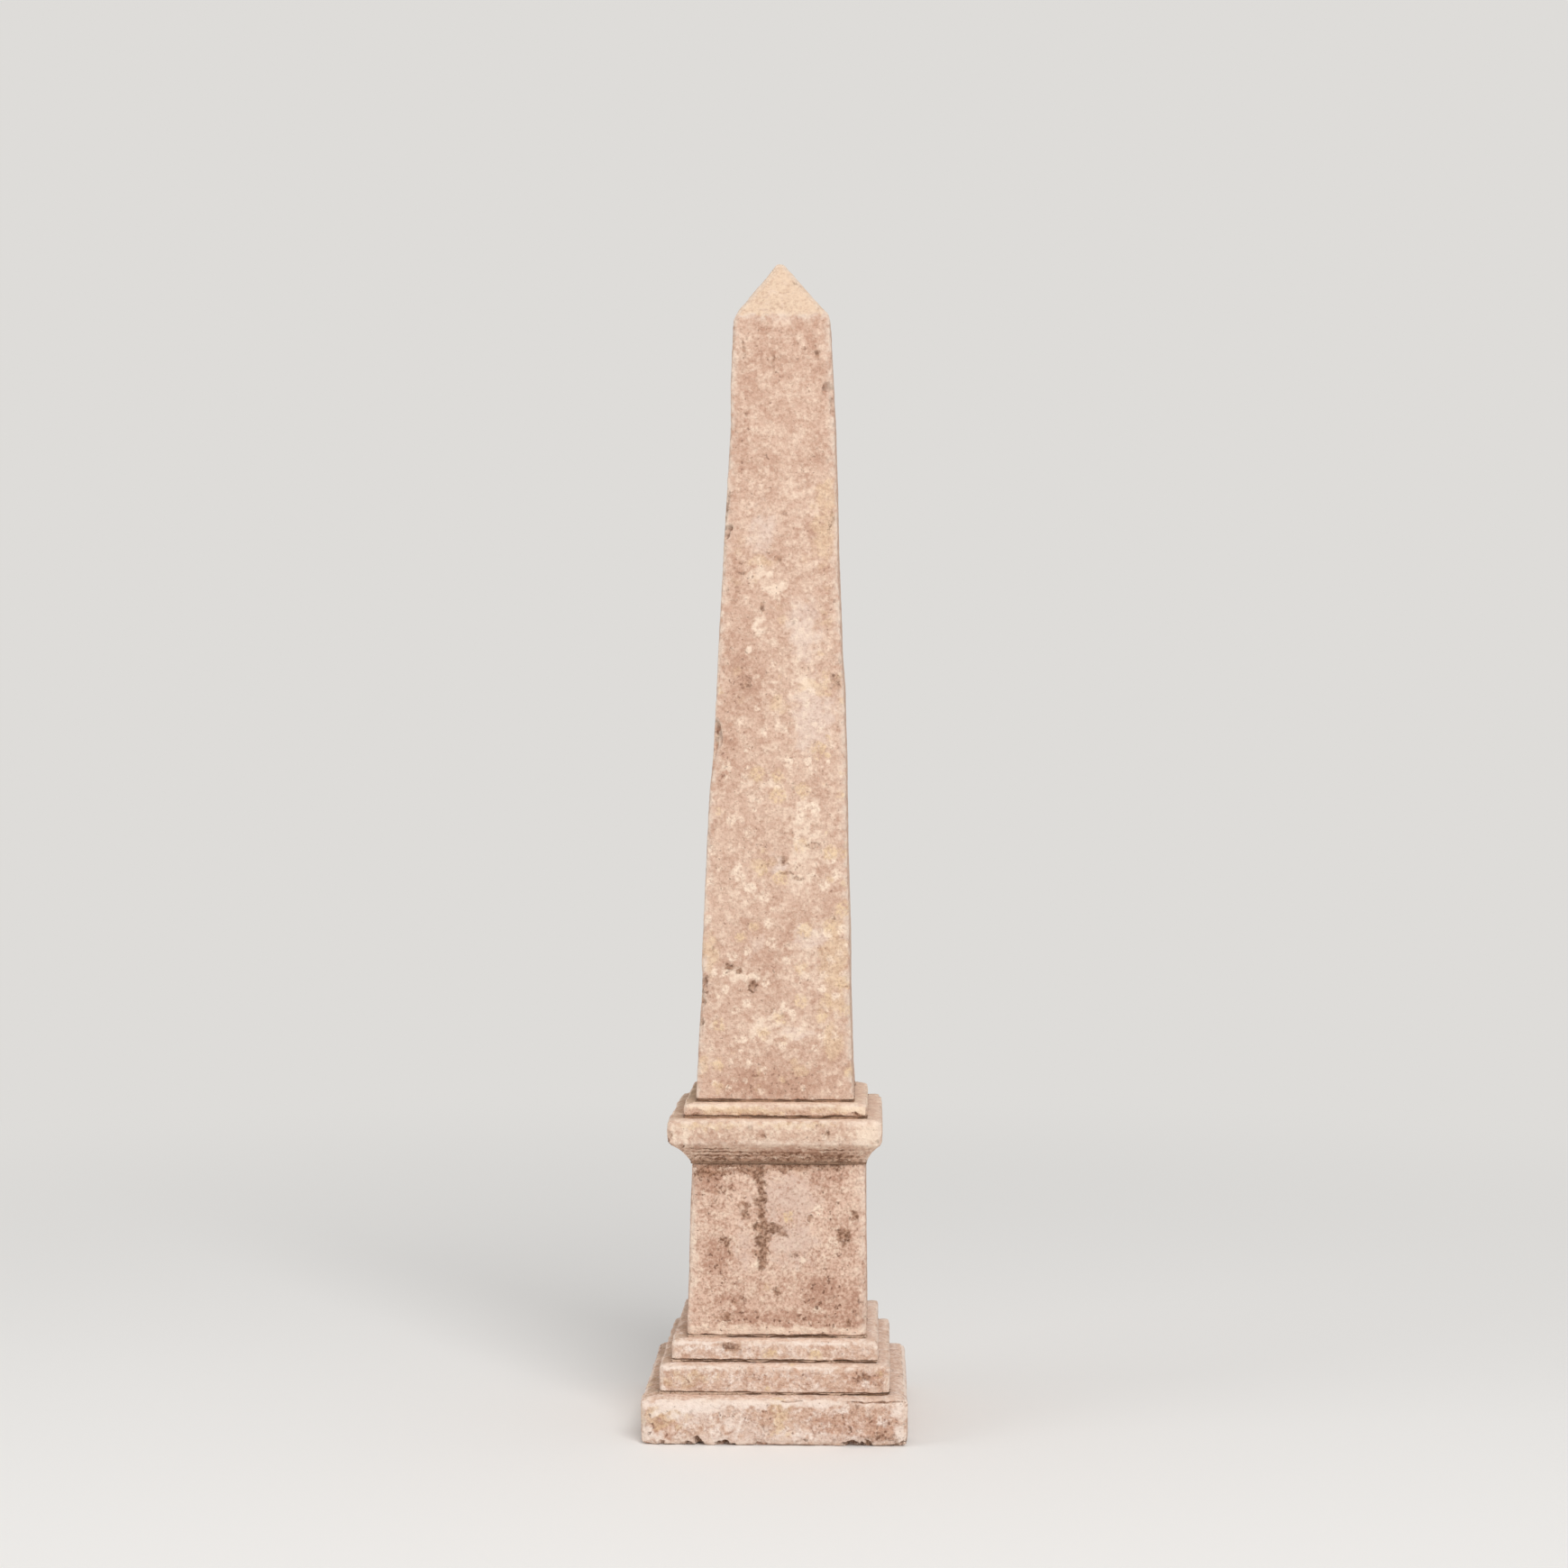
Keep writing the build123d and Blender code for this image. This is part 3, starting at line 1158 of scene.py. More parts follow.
    def soiled_colour(
        self,
        graph: Graph,
        groups: EffectGroups,
        place: object,
        grain: bpy.types.NodeOutputs,
        colour: object,
        grime: bpy.types.NodeSocket,
    ) -> bpy.types.NodeSocket:
        """Soils the stone: stains round its dirt, a painted highlight and dust with painted shade on its
        ledges, dirt and painted shade in its nooks, and grime.

        Args:
            graph: The material's graph.
            groups: The shared effect groups.
            place: Where to read its patterns.
            grain: The grain's layers.
            colour: The clean colour.
            grime: Where its grime is.

        Returns:
            The soiled colour.
        """
        halo = self.stain(graph, groups, Mask.GRIME, place, 9 * MM, 1.0)
        colour = graph.tint(halo, self.SOAKED * self.dirtiness, colour, self.halo)
        # painted highlight: the open ledge tops are painted paler, least where dust and painted shade lie
        lit_ledge_top = graph.math("SUBTRACT", graph.mask(Mask.LEDGE), graph.mask(Mask.DUST_AND_SHADE), clamp=True)
        colour = graph.tint(lit_ledge_top, self.LIT_LEDGE_TOP, colour, self.edge)
        # dust and painted shade darken the ledges to the left and at the back
        dusty_and_shaded = graph.math("MULTIPLY", graph.mask(Mask.DUST_AND_SHADE), graph.between(grain["Medium"], 0.3, 0.6))
        colour = graph.tint(dusty_and_shaded, self.dust_and_shade_strength, colour, self.dust)
        # dirt and painted shade darken the back of each ledge, in the nook under the stone above
        nook = self.stain(graph, groups, Mask.NOOK, place, 5 * MM, 2.0)
        colour = graph.tint(nook, self.NOOK_DIRT_AND_SHADE, colour, self.grime)
        depth = graph.math("MULTIPLY_ADD", graph.between(grain["Fine"], 0.38, 0.62), 0.65, 0.2)
        colour = graph.tint(graph.math("MULTIPLY", grime, depth), self.dirtiness, colour, self.grime)
        return graph.tint(graph.mask(Mask.PIT), self.SUNK, colour, self.grime)


@dataclass(frozen=True)
class DirtyBed:
    """The finish of a bed: pale lime mortar where it survives, and brown dirt where it is gone.

    Attributes:
        name: The material's name.
        seed: What its patterns start from.
        mortar: The colour of the mortar.
        dirt: The colour of the dirt.
    """

    name: str
    seed: float
    mortar: Colour = srgb(208, 180, 158)
    dirt: Colour = srgb(134, 106, 86)

    @cache
    def build(self, groups: EffectGroups) -> bpy.types.Material:
        """Builds the material, once for all the beds that share the finish.

        Args:
            groups: The shared effect groups.

        Returns:
            The material.
        """
        made, graph = new_material(self.name)
        place = graph.node("ShaderNodeTexCoord").outputs["Object"]
        grain = graph.group(groups.grain, {"Place": place, "Seed": self.seed}).outputs
        inputs = {"Mask": graph.mask(Mask.CREAM), "Place": place, "Seed": self.seed, "Size": 5 * MM}
        filled = graph.group(groups.torn, inputs).outputs[0]
        colour = graph.mix(filled, self.dirt, self.mortar)
        colour = graph.tint(graph.between(grain["Fine"], 0.5, 0.7), 0.4, colour, self.dirt)
        roughness = graph.math("MULTIPLY_ADD", grain["Small"], 0.08, 0.88)
        matt_surface(graph, colour, roughness, grain["Height"], 1.0, 0.25)
        return made


@dataclass(frozen=True)
class StudioFloor:
    """The finish of the studio's floor: a plain pale matt sheet that fades into the backdrop far away.

    Attributes:
        backdrop: The colour that it fades into.
        colour: Its colour.
        fade: How far from the middle it starts to fade, and how far out it has faded.
    """

    backdrop: Colour
    colour: Colour = srgb(242, 240, 237)
    fade: tuple[float, float] = (0.5, 2.4)

    def build(self) -> bpy.types.Material:
        """Builds the material.

        Returns:
            The material.
        """
        made, graph = new_material("studio floor")
        place = graph.node("ShaderNodeTexCoord").outputs["Object"]
        tooth = graph.noise(place, 3 * MM, 0.0)
        bump = graph.node("ShaderNodeBump", {"Height": tooth, "Distance": 0.05 * MM})
        inputs = {"Base Color": self.colour, "Roughness": 0.85, "Normal": bump.outputs[0]}
        shader = graph.node("ShaderNodeBsdfPrincipled", inputs)
        shown = graph.node("ShaderNodeEmission", {"Color": self.backdrop, "Strength": 1.0})
        away = graph.node("ShaderNodeVectorMath", {0: place}, operation="LENGTH").outputs["Value"]
        seen = graph.node("ShaderNodeLightPath").outputs["Is Camera Ray"]
        faded = graph.math("MULTIPLY", graph.between(away, *self.fade), seen)
        mixed = graph.node("ShaderNodeMixShader", {0: faded, 1: shader.outputs[0], 2: shown.outputs[0]})
        graph.node("ShaderNodeOutputMaterial", {"Surface": mixed.outputs[0]})
        return made


# ------------------------------------------------------------------ stones


def stains(mask: Mask, *spots: tuple[float, ...]) -> tuple[Mark, ...]:
    """Lists marks of one kind on the front.

    Args:
        mask: What they are.
        *spots: Each mark's place across, height, width, height of its own and strength, lengths in
            millimetres.

    Returns:
        The marks.
    """
    return tuple(Mark(mask, *(size * MM for size in spot[:4]), *spot[4:]) for spot in spots)


def chips(
    *spots: tuple[float, ...], lean: tuple[float, float] = (0.0, 0.0), dirt: float = 0.9
) -> tuple[Dent, ...]:
    """Lists dents in the front that face the same way.

    Args:
        *spots: Each dent's place across, height, radius and bite, in millimetres.
        lean: How far they face along the face and upwards.
        dirt: How far they are darkened, as dirt and painted shade.

    Returns:
        The dents.
    """
    return tuple(Dent(*(size * MM for size in spot), lean, dirt) for spot in spots)


def place_piece(name: str, mesh: bpy.types.Mesh) -> bpy.types.Object:
    """Puts a mesh into the scene as an object at the origin.

    Args:
        name: The object's name.
        mesh: The mesh.

    Returns:
        The object.
    """
    piece = bpy.data.objects.new(name, mesh)
    bpy.context.scene.collection.objects.link(piece)
    return piece


@dataclass
class Stone:
    """A plain square stone, worn and stained, with a flat top and upright sides.

    Attributes:
        node: The CAD node that it stands for, which gives its place and size.
        finish: Its finish.
        arris: The radius to which its upper arrises are worn.
        foot_arris: The radius of its foot's arris.
        bed_below: The CAD node of the bed that hides its underside.
        bed_above: The CAD node of the bed that hides the middle of its top.
        pitch: The longest step up its skin.
        per_side: How many points its skin has along each side.
        dents: Its dents.
        marks: The front's marks, which the other faces repeat in their own way.
        weather: What its weathering changes from the usual, by the tree's input.
        seed: What its unevenness starts from.
        OPEN_RIM: How wide a rim of a side that lies on no bed may show.
        TUCK: How far a skin is still fine beyond the edge that hides it.
        UPRIGHT_ARRIS: The radius of the upright arrises, for each unit of the upper ones'.
    """

    OPEN_RIM = 10 * MM
    TUCK = 1 * MM
    UPRIGHT_ARRIS = 1.2

    node: str
    finish: WeatheredStone
    arris: float = 3 * MM
    foot_arris: float = 1.8 * MM
    bed_below: str = ""
    bed_above: str = ""
    pitch: float = 1.3 * MM
    per_side: int = 150
    dents: tuple[Dent, ...] = ()
    marks: tuple[Mark, ...] = ()
    weather: dict[str, float] = field(default_factory=dict)
    seed: int = 1

    @property
    def foot(self) -> float:
        """The height of its underside."""
        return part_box(self.node)[0].z

    @property
    def head(self) -> float:
        """The height of its top."""
        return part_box(self.node)[1].z

    @property
    def half(self) -> float:
        """Half of its width."""
        low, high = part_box(self.node)
        return (high.x - low.x) / 2

    def hidden(self, bed: str) -> float:
        """Tells how far out a bed hides the stone: nearly to the bed's own edge."""
        return (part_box(bed)[1].y if bed else self.half - self.OPEN_RIM) - self.TUCK

    def section(self) -> Section:
        """Lays out its section.

        Returns:
            The section.
        """
        foot = Corner(self.half, self.foot, self.foot_arris, 0.8)
        head = Corner(self.half, self.head, self.arris)
        return Section((foot, head), self.hidden(self.bed_below), self.hidden(self.bed_above))

    def stray(self, height: float) -> float:
        """Tells how far up or down what is at a height may stray on another face: less near an edge."""
        return 2 * MM + 0.22 * max(0.0, min(height - self.foot, self.head - height))

    def marks_on(self, face: Face) -> list[Mark]:
        """Gives a face its marks: the front's own, and the same kinds elsewhere on the others.

        Args:
            face: The face.

        Returns:
            Its marks.
        """
        if face is Face.FRONT:
            return list(self.marks)
        random = np.random.default_rng([self.seed, list(Face).index(face)])
        side = random.choice([-1, 1])
        return [
            replace(
                mark,
                across=side * mark.across + random.normal(0, 14 * MM),
                height=mark.height + random.normal(0, self.stray(mark.height)),
                width=mark.width * random.uniform(0.6, 1.5),
                tall=mark.tall * random.uniform(0.7, 1.4),
                strength=mark.strength * random.uniform(0.4, 1.1),
                face=face,
            )
            for mark in self.marks
        ]

    def dents_on(self, face: Face) -> list[Dent]:
        """Gives a face its dents: all that are listed, and the front's kinds on the others.

        Args:
            face: The face.

        Returns:
            Its dents.
        """
        if face is Face.FRONT:
            return list(self.dents)
        random = np.random.default_rng([self.seed, 7, list(Face).index(face)])
        moved = []
        for dent in self.dents:
            if dent.face is not Face.FRONT:
                continue
            sideways, upwards = dent.lean
            stray = self.stray(dent.height) if upwards == 0 else 0.0
            across = -dent.across + (random.normal(0, 9 * MM) if sideways == 0 else 0.0)
            height = dent.height + random.normal(0, stray)
            moved.append(replace(dent, across=across, height=height, lean=(-sideways, upwards), face=face))
        return moved

    def lay(self, skin: Skin) -> None:
        """Moves its skin as the stone lies out of true. A plain stone lies true."""

    def build(self, tree: WeatherTree, groups: EffectGroups) -> bpy.types.Object:
        """Builds the stone, weathers it and dresses it.

        Args:
            tree: The tree that weathers it.
            groups: The shared effect groups.

        Returns:
            The finished piece.
        """
        upright_arris = self.arris * self.UPRIGHT_ARRIS
        skin = Skin(self.section(), self.pitch, self.per_side, upright_arris, 1.0, self.seed)
        self.lay(skin)
        for face in Face:
            for number, dent in enumerate(self.dents_on(face)):
                skin.cut(dent, self.seed + number)
        normals = skin.normals
        for face in Face:
            for mark in self.marks_on(face):
                skin.paint(mark, normals)
        name = f"{self.node}_stone"
        piece = place_piece(name, skin.mesh(name))
        settings = {**self.weather, "Seed": float(self.seed), "Material": self.finish.build(groups)}
        tree.apply(piece, settings)
        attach(piece, "root")
        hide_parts(self.node)
        return piece


@dataclass
class Die(Stone):
    """The battered block over the steps, laid a little out of true.

    Attributes:
        head_width: Its width at the head.
        drifts: How far its foot and its head lie along X from the obelisk's axis.
    """

    head_width: float = 165 * MM
    drifts: tuple[float, float] = (1.5 * MM, 3.0 * MM)

    @property
    def half(self) -> float:
        """Half of its width at the foot."""
        low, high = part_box(self.node)
        return (high.y - low.y) / 2

    def section(self) -> Section:
        """Lays out its section.

        Returns:
            The section.
        """
        foot = Corner(self.half, self.foot, self.foot_arris, 0.8)
        head = Corner(self.head_width / 2, self.head, SHARP, 0.3)
        return Section((foot, head), self.hidden(self.bed_below), self.hidden(self.bed_above))

    def lay(self, skin: Skin) -> None:
        """Leans its skin along X."""
        skin.points[..., 0] += np.interp(skin.points[..., 2], [self.foot, self.head], self.drifts)


@dataclass
class Cornice(Stone):
    """The cornice: a hollow soffit under an upright fascia.

    Attributes:
        soffit_height: How high the soffit is.
        soffit_foot: How far out the soffit springs.
        hollow: How deep the soffit is hollowed.
        hollow_radius: The radius of the hollow.
        lip_wear: The radius to which the lip between soffit and fascia is worn.
        foot_drift: How far the soffit's foot lies along X with the die's head.
    """

    soffit_height: float = 19 * MM
    soffit_foot: float = 84 * MM
    hollow: float = 1.6 * MM
    hollow_radius: float = 44 * MM
    lip_wear: float = 4.2 * MM
    foot_drift: float = 3.0 * MM

    def section(self) -> Section:
        """Lays out its section.

        Returns:
            The section.
        """
        foot = np.array([self.soffit_foot, self.foot])
        lip = np.array([self.half, self.foot + self.soffit_height])
        run = lip - foot
        inward = np.array([-run[1], run[0]]) / np.linalg.norm(run)
        deepest = (foot + lip) / 2 + inward * self.hollow * 2
        corners = (
            Corner(*foot, SHARP, 0.1),
            Corner(*deepest, self.hollow_radius, 0.0),
            Corner(*lip, self.lip_wear, 0.8),
            Corner(self.half, self.head, self.arris),
        )
        return Section(corners, self.hidden(self.bed_below), self.hidden(self.bed_above))

    def lay(self, skin: Skin) -> None:
        """Draws the soffit's foot over to the die's head."""
        levels = [self.foot, self.foot + self.soffit_height]
        skin.points[..., 0] += np.interp(skin.points[..., 2], levels, [self.foot_drift, 0.0])


@dataclass
class Needle(Stone):
    """The tapering needle and the low pyramid that ends it, cut and worn out of line.

    Attributes:
        foot_width: Its width at the foot.
        shoulder_width: Its width at the shoulder.
        shaft_height: How high the shoulder is above the foot.
        shoulder_wear: The radius to which the shoulder is worn.
        tip_width: How wide its blunt tip is.
        tip_wear: The radius to which the tip is worn.
        pyramid_bleach_and_light: How far its pyramid is bleached and painted paler as painted light, from 0
            to 1.
        drifts: How far its foot, its shoulder and its tip lie along X from the obelisk's axis.
        bows: At some heights, how far its left and its right side bow along X.
    """

    foot_width: float = 151 * MM
    shoulder_width: float = 93 * MM
    shaft_height: float = 746 * MM
    shoulder_wear: float = 16 * MM
    tip_width: float = 5.5 * MM
    tip_wear: float = 4.5 * MM
    pyramid_bleach_and_light: float = 0.85
    drifts: tuple[float, float, float] = (-0.8 * MM, 4.8 * MM, 2.2 * MM)
    bows: tuple[tuple[float, float, float], ...] = ()

    def section(self) -> Section:
        """Lays out its section.

        Returns:
            The section.
        """
        shoulder = self.foot + self.shaft_height
        corners = (
            Corner(self.foot_width / 2, self.foot, self.foot_arris, 0.6),
            Corner(self.shoulder_width / 2, shoulder, self.shoulder_wear, 0.8),
            Corner(self.tip_width / 2, self.head, self.tip_wear),
        )
        return Section(corners, self.hidden(self.bed_below), 0.0)

    def lay(self, skin: Skin) -> None:
        """Bleaches its skin's pyramid and paints it paler as painted light, leans the skin along X and bows
        its left and right sides.

        Args:
            skin: The skin.
        """
        heights = skin.points[..., 2]
        shoulder = self.foot + self.shaft_height
        # the pyramid is painted paler with lilac and ochre: bleached, and painted light where it faces up
        uneven = heights + 1.5 * MM * wobble(skin.points, 12 * MM, self.seed)
        for mask in (Mask.LILAC, Mask.OCHRE):
            skin.masks[mask] = self.pyramid_bleach_and_light * smooth(uneven, shoulder - 2 * MM, shoulder + 4 * MM)
        levels = [self.foot, shoulder, self.head]
        half = np.interp(heights, levels, [self.foot_width / 2, self.shoulder_width / 2, self.tip_width / 2])
        share = np.clip(skin.points[..., 0] / half / 2 + 0.5, 0, 1)
        knots, left, right = np.array(self.bows).T
        bow = np.interp(heights, knots, left) * (1 - share) + np.interp(heights, knots, right) * share
        skin.points[..., 0] += np.interp(heights, levels, self.drifts) + bow


@dataclass
class Bed:
    """The bed between two stones: mortar where it survives, and otherwise a dark raked joint.

    Attributes:
        node: The CAD node that it stands for, which gives its place and size.
        finish: Its finish.
        rake: How far the CAD bed is raked back from the face above it.
        filled: The stretches of the front where mortar survives, as start and end along X.
        fill_share: How much of the other faces' joints is filled.
        packed: How near to the face the dirt comes where the mortar is gone, from 0 to 1.
        shy: How far behind the face its mortar stays.
        paleness: How pale its mortar is.
        crumbs: How many crumbs cling to a square metre of it.
        crumb_size: How large a crumb is.
        pitch: The longest step up its skin.
        per_side: How many points its skin has along each side.
        edge: The radius of its edges.
        seed: What its unevenness starts from.
    """

    node: str
    finish: DirtyBed
    rake: float = 4 * MM
    filled: tuple[tuple[float, float], ...] = ()
    fill_share: float = 0.4
    packed: float = 0.45
    shy: float = 0.5 * MM
    paleness: float = 0.8
    crumbs: float = 90000.0
    crumb_size: float = 1.0 * MM
    pitch: float = 0.35 * MM
    per_side: int = 150
    edge: float = 0.3 * MM
    seed: int = 1

    def fullness(self, points: np.ndarray) -> np.ndarray:
        """Tells how far the joint is filled with mortar.

        Args:
            points: The places.

        Returns:
            From 0 where it is open to 1 where it is full, for each place.
        """
        rest = smooth(wobble(points, 90 * MM, self.seed) / 2 + self.fill_share, 0.35, 0.65)
        front = np.zeros(points.shape[:-1])
        for start, end in self.filled:
            inside = smooth(points[..., 0], start - 4 * MM, start + 4 * MM)
            front = np.maximum(front, inside * smooth(points[..., 0], end + 4 * MM, end - 4 * MM))
        reach = np.max(np.abs(points[..., :2]), axis=-1)
        return np.where(points[..., 1] <= -reach * 0.999, front, rest)

    def closure(self, points: np.ndarray, foot: float, head: float) -> np.ndarray:
        """Tells how far the joint is closed at each point: where no mortar survives, an uneven crack is open.

        Args:
            points: The places.
            foot: The height of the bed's underside.
            head: The height of its top.

        Returns:
            From 0 in the crack to 1 where the joint is flush.
        """
        level = (points[..., 2] - foot) / (head - foot)
        flat = points * np.array([1.0, 1.0, 0.0])
        middle = 0.4 + 0.25 * wobble(flat, 45 * MM, self.seed + 3)
        broad, fine = wobble(flat, 24 * MM, self.seed + 4), wobble(flat, 6 * MM, self.seed + 5)
        half = 0.42 + 0.34 * broad + 0.14 * fine
        crack = smooth(half - np.abs(level - middle), -0.2, 0.2)
        return 1 - (1 - self.fullness(points)) * crack

    def skin(self) -> Skin:
        """Makes its skin, pushed out to the face where the joint is closed and back where it is open.

        Returns:
            The skin.
        """
        low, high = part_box(self.node)
        half, drift = (high.y - low.y) / 2, (high.x + low.x) / 2
        corners = (Corner(half, low.z, self.edge, 0.0), Corner(half, high.z, self.edge, 0.0))
        hidden = half - 1.5 * MM
        skin = Skin(Section(corners, hidden, hidden), self.pitch, self.per_side, 2 * MM, 0.0, self.seed)
        closed = self.closure(skin.points, low.z, high.z)
        broad, fine = wobble(skin.points, 11 * MM, self.seed + 1), wobble(skin.points, 4 * MM, self.seed + 2)
        rough = (0.5 * broad + 0.4 * fine) * MM
        push = (self.rake - self.shy) * (self.packed + (1 - self.packed) * closed) + rough
        skin.points[..., :2] *= (1 + push / half)[..., None]
        skin.points[..., 0] += drift
        skin.masks[Mask.CREAM] = closed * self.paleness
        return skin

    def build(self, tree: CrumbTree, groups: EffectGroups) -> bpy.types.Object:
        """Builds the bed and dresses it.

        Args:
            tree: The tree that strews its crumbs.
            groups: The shared effect groups.

        Returns:
            The finished piece.
        """
        name = f"{self.node}_mortar"
        piece = place_piece(name, self.skin().mesh(name))
        settings = {"Density": self.crumbs, "Size": self.crumb_size, "Seed": self.seed}
        settings["Material"] = self.finish.build(groups)
        tree.apply(piece, settings)
        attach(piece, "root")
        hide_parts(self.node)
        return piece


# ------------------------------------------------------------------ the obelisk's own stones and beds


LIMY = srgb(253, 237, 225)
ROSY = srgb(208, 158, 132)

SEASONED = {"Grain Depth": 0.28 * MM, "Pit Depth": 0.7 * MM, "Arris Depth": 2.8 * MM, "Arris Size": 17 * MM}


def obelisk_plinth() -> Stone:
    """Describes the plinth: a pale, mottled slab with frost chips along its foot.

    Returns:
        The stone.
    """
    finish = WeatheredStone(
        "plinth stone",
        11.0,
        rose=ROSY,
        cream=LIMY,
        rosiness=0.32,
        paleness=0.95,
        freckles=0.7,
        dust_and_shade_strength=0.5,
    )
    deep = ((-72, 0, 12, 5), (-44, 0, 10, 4.4), (-50, 1, 5, 2.5), (73, 0, 12, 5.4), (86, 1, 7, 3.4))
    shallow = ((-104, 0, 8, 2), (-14, 0, 9, 2), (30, 0, 10, 2), (118, 2, 7, 2.5))
    return Stone(
        node="plinth",
        finish=finish,
        arris=4.4 * MM,
        foot_arris=4 * MM,
        bed_above="lower_step_bed",
        per_side=200,
        dents=chips(*deep, lean=(0, -1)) + chips(*shallow, lean=(0, -1), dirt=0.4),
        marks=(
            # pale bleached patches; the band along the top edge and the patches at the right end are also
            # painted highlights
            *stains(Mask.CREAM, (-88, 38, 60, 12), (0, 41, 120, 7, 0.8), (119, 38, 12, 16)),
            *stains(Mask.CREAM, (30, 14, 40, 9, 0.5), (-40, 22, 30, 14, 0.6), (-116, 8, 18, 12, 0.8)),
            *stains(Mask.CREAM, (119, 12, 8, 20, 0.7)),
            *stains(Mask.LILAC, (-76, 30, 28, 14), (-20, 6, 100, 8), (60, 6, 70, 6), (-16, 12, 12, 12)),
            *stains(Mask.ROSE, (-104, 18, 26, 14, 0.8), (59, 19, 50, 20, 0.6), (97, 19, 36, 20, 0.7)),
            *stains(Mask.OCHRE, (7, 24, 10, 20), (-104, 26, 26, 13)),
            *stains(Mask.GRIME, (-8, 16, 13, 10, 0.3), (102, 9, 25, 6, 0.6)),
            *stains(Mask.GRIME, (96, 42.4, 37, 1.6), (16, 42.6, 13, 1.4)),
        ),
        weather=SEASONED | {"Arris Depth": 3.4 * MM, "Swell Depth": 0.7 * MM},
        seed=11,
    )


def obelisk_lower_step() -> Stone:
    """Describes the lower step: a pale slab, rosier and stained towards its right.

    Returns:
        The stone.
    """
    finish = WeatheredStone(
        "lower step stone",
        23.0,
        rose=ROSY,
        cream=LIMY,
        rosiness=0.15,
        paleness=0.95,
        freckles=0.65,
        dust_and_shade_strength=0.4,
    )
    return Stone(
        node="lower_step",
        finish=finish,
        bed_below="lower_step_bed",
        bed_above="upper_step_bed",
        per_side=170,
        marks=(
            *stains(Mask.ROSE, (-16, 61, 34, 12, 0.4), (35, 58, 34, 12, 0.4), (86, 60, 30, 12, 0.8)),
            *stains(Mask.OCHRE, (-80, 58, 34, 12, 0.6)),
            *stains(Mask.GRIME, (85, 61, 13, 6, 0.65), (96, 56, 12, 4, 0.4)),
            # pale bands along the top edge: bleached stone, and a painted highlight
            *stains(Mask.CREAM, (-90, 70, 60, 4, 0.8), (30, 70, 80, 3, 0.6)),
            *stains(Mask.LILAC, (0, 49, 120, 3, 0.7)),
        ),
        weather=SEASONED,
        seed=23,
    )


def obelisk_upper_step() -> Stone:
    """Describes the upper step: the palest slab, with one dark stain at its left.

    Returns:
        The stone.
    """
    finish = WeatheredStone(
        "upper step stone",
        31.0,
        rose=ROSY,
        cream=LIMY,
        rosiness=0.1,
        paleness=1.0,
        freckles=0.55,
        dust_and_shade_strength=0.4,
    )
    return Stone(
        node="upper_step",
        finish=finish,
        bed_below="upper_step_bed",
        bed_above="die_bed",
        per_side=155,
        marks=(
            *stains(Mask.ROSE, (51, 82, 26, 8, 0.35), (-20, 80, 26, 6, 0.3)),
            *stains(Mask.GRIME, (-41, 86.5, 11, 6), (-36, 88, 5, 4, 0.8)),
            # pale bands: bleached stone, with a painted highlight along the top edge
            *stains(Mask.CREAM, (-70, 91, 30, 4, 0.9), (40, 91, 60, 3, 0.7), (0, 76, 120, 3, 0.5)),
        ),
        weather=SEASONED,
        seed=31,
    )


def obelisk_die() -> Die:
    """Describes the die: rosy and lilac, with grime and the cornice's painted shadow along its head, and a
    long drip down its front.

    Returns:
        The stone.
    """
    finish = WeatheredStone(
        "die stone",
        41.0,
        body=srgb(229, 195, 174),
        lilac=srgb(215, 189, 176),
        rosiness=0.45,
        freckles=0.75,
        paleness=0.65,
        lichen=0.12,
    )
    return Die(
        node="die",
        finish=finish,
        arris=3.5 * MM,
        bed_below="die_bed",
        bed_above="cornice_bed",
        pitch=1.6 * MM,
        per_side=115,
        dents=chips((-12, 222, 4, 0.8), (68, 188, 4, 1.2), (-50, 186, 3, 1)),
        marks=(
            *stains(Mask.ROSE, (-64, 244, 26, 22), (45, 244, 30, 17, 0.6), (-54, 165, 16, 25)),
            *stains(Mask.ROSE, (-47, 122, 36, 25, 0.5), (49, 136, 26, 23), (74, 128, 13, 26)),
            *stains(Mask.ROSE, (62, 109, 36, 14), (0, 112, 60, 9, 0.8)),
            *stains(Mask.LILAC, (12, 226, 42, 34, 0.8), (15, 183, 36, 34, 0.8), (-30, 180, 14, 40, 0.6)),
            *stains(Mask.CREAM, (0, 100, 151, 6, 0.7), (78, 235, 10, 34, 0.5), (-79, 180, 7, 70, 0.6)),
            # grime along the die's head, which also paints the cornice's shadow
            *stains(Mask.GRIME, (-62, 250, 30, 10, 0.75), (-52, 233, 24, 10, 0.45), (-27, 253, 28, 9, 0.8)),
            *stains(Mask.GRIME, (15, 255, 34, 7, 0.8), (49, 256, 40, 6, 0.6), (36, 244, 16, 8, 0.3)),
            *stains(Mask.GRIME, (-36, 257, 46, 2.6), (30, 257, 60, 3.2), (-15, 247, 10, 14)),
            *stains(Mask.GRIME, (-13, 226, 7, 20), (-13, 204, 7, 20), (-12, 186, 9, 22), (-12, 168, 5, 14)),
            *stains(Mask.GRIME, (-1, 197, 12, 6), (8, 191, 6, 5), (-29, 219, 7, 6, 0.9)),
            *stains(Mask.GRIME, (-29, 210, 7, 5, 0.8), (-44, 181, 4, 13, 0.6), (-50, 187, 4, 4, 0.5)),
            *stains(Mask.GRIME, (33, 207, 3, 3), (74, 209, 5, 6, 0.8), (66, 193, 8, 5), (61, 188, 4, 4)),
            *stains(Mask.GRIME, (66, 181, 5, 6, 0.8), (20, 172, 12, 3, 0.5), (1, 137, 6, 5, 0.9)),
            *stains(Mask.GRIME, (-47, 113, 14, 5, 0.6), (70, 107, 4, 4), (-36, 127, 10, 6, 0.5)),
        ),
        weather=SEASONED | {"Pit Share": 0.1, "Swell Depth": 0.5 * MM},
        seed=41,
    )


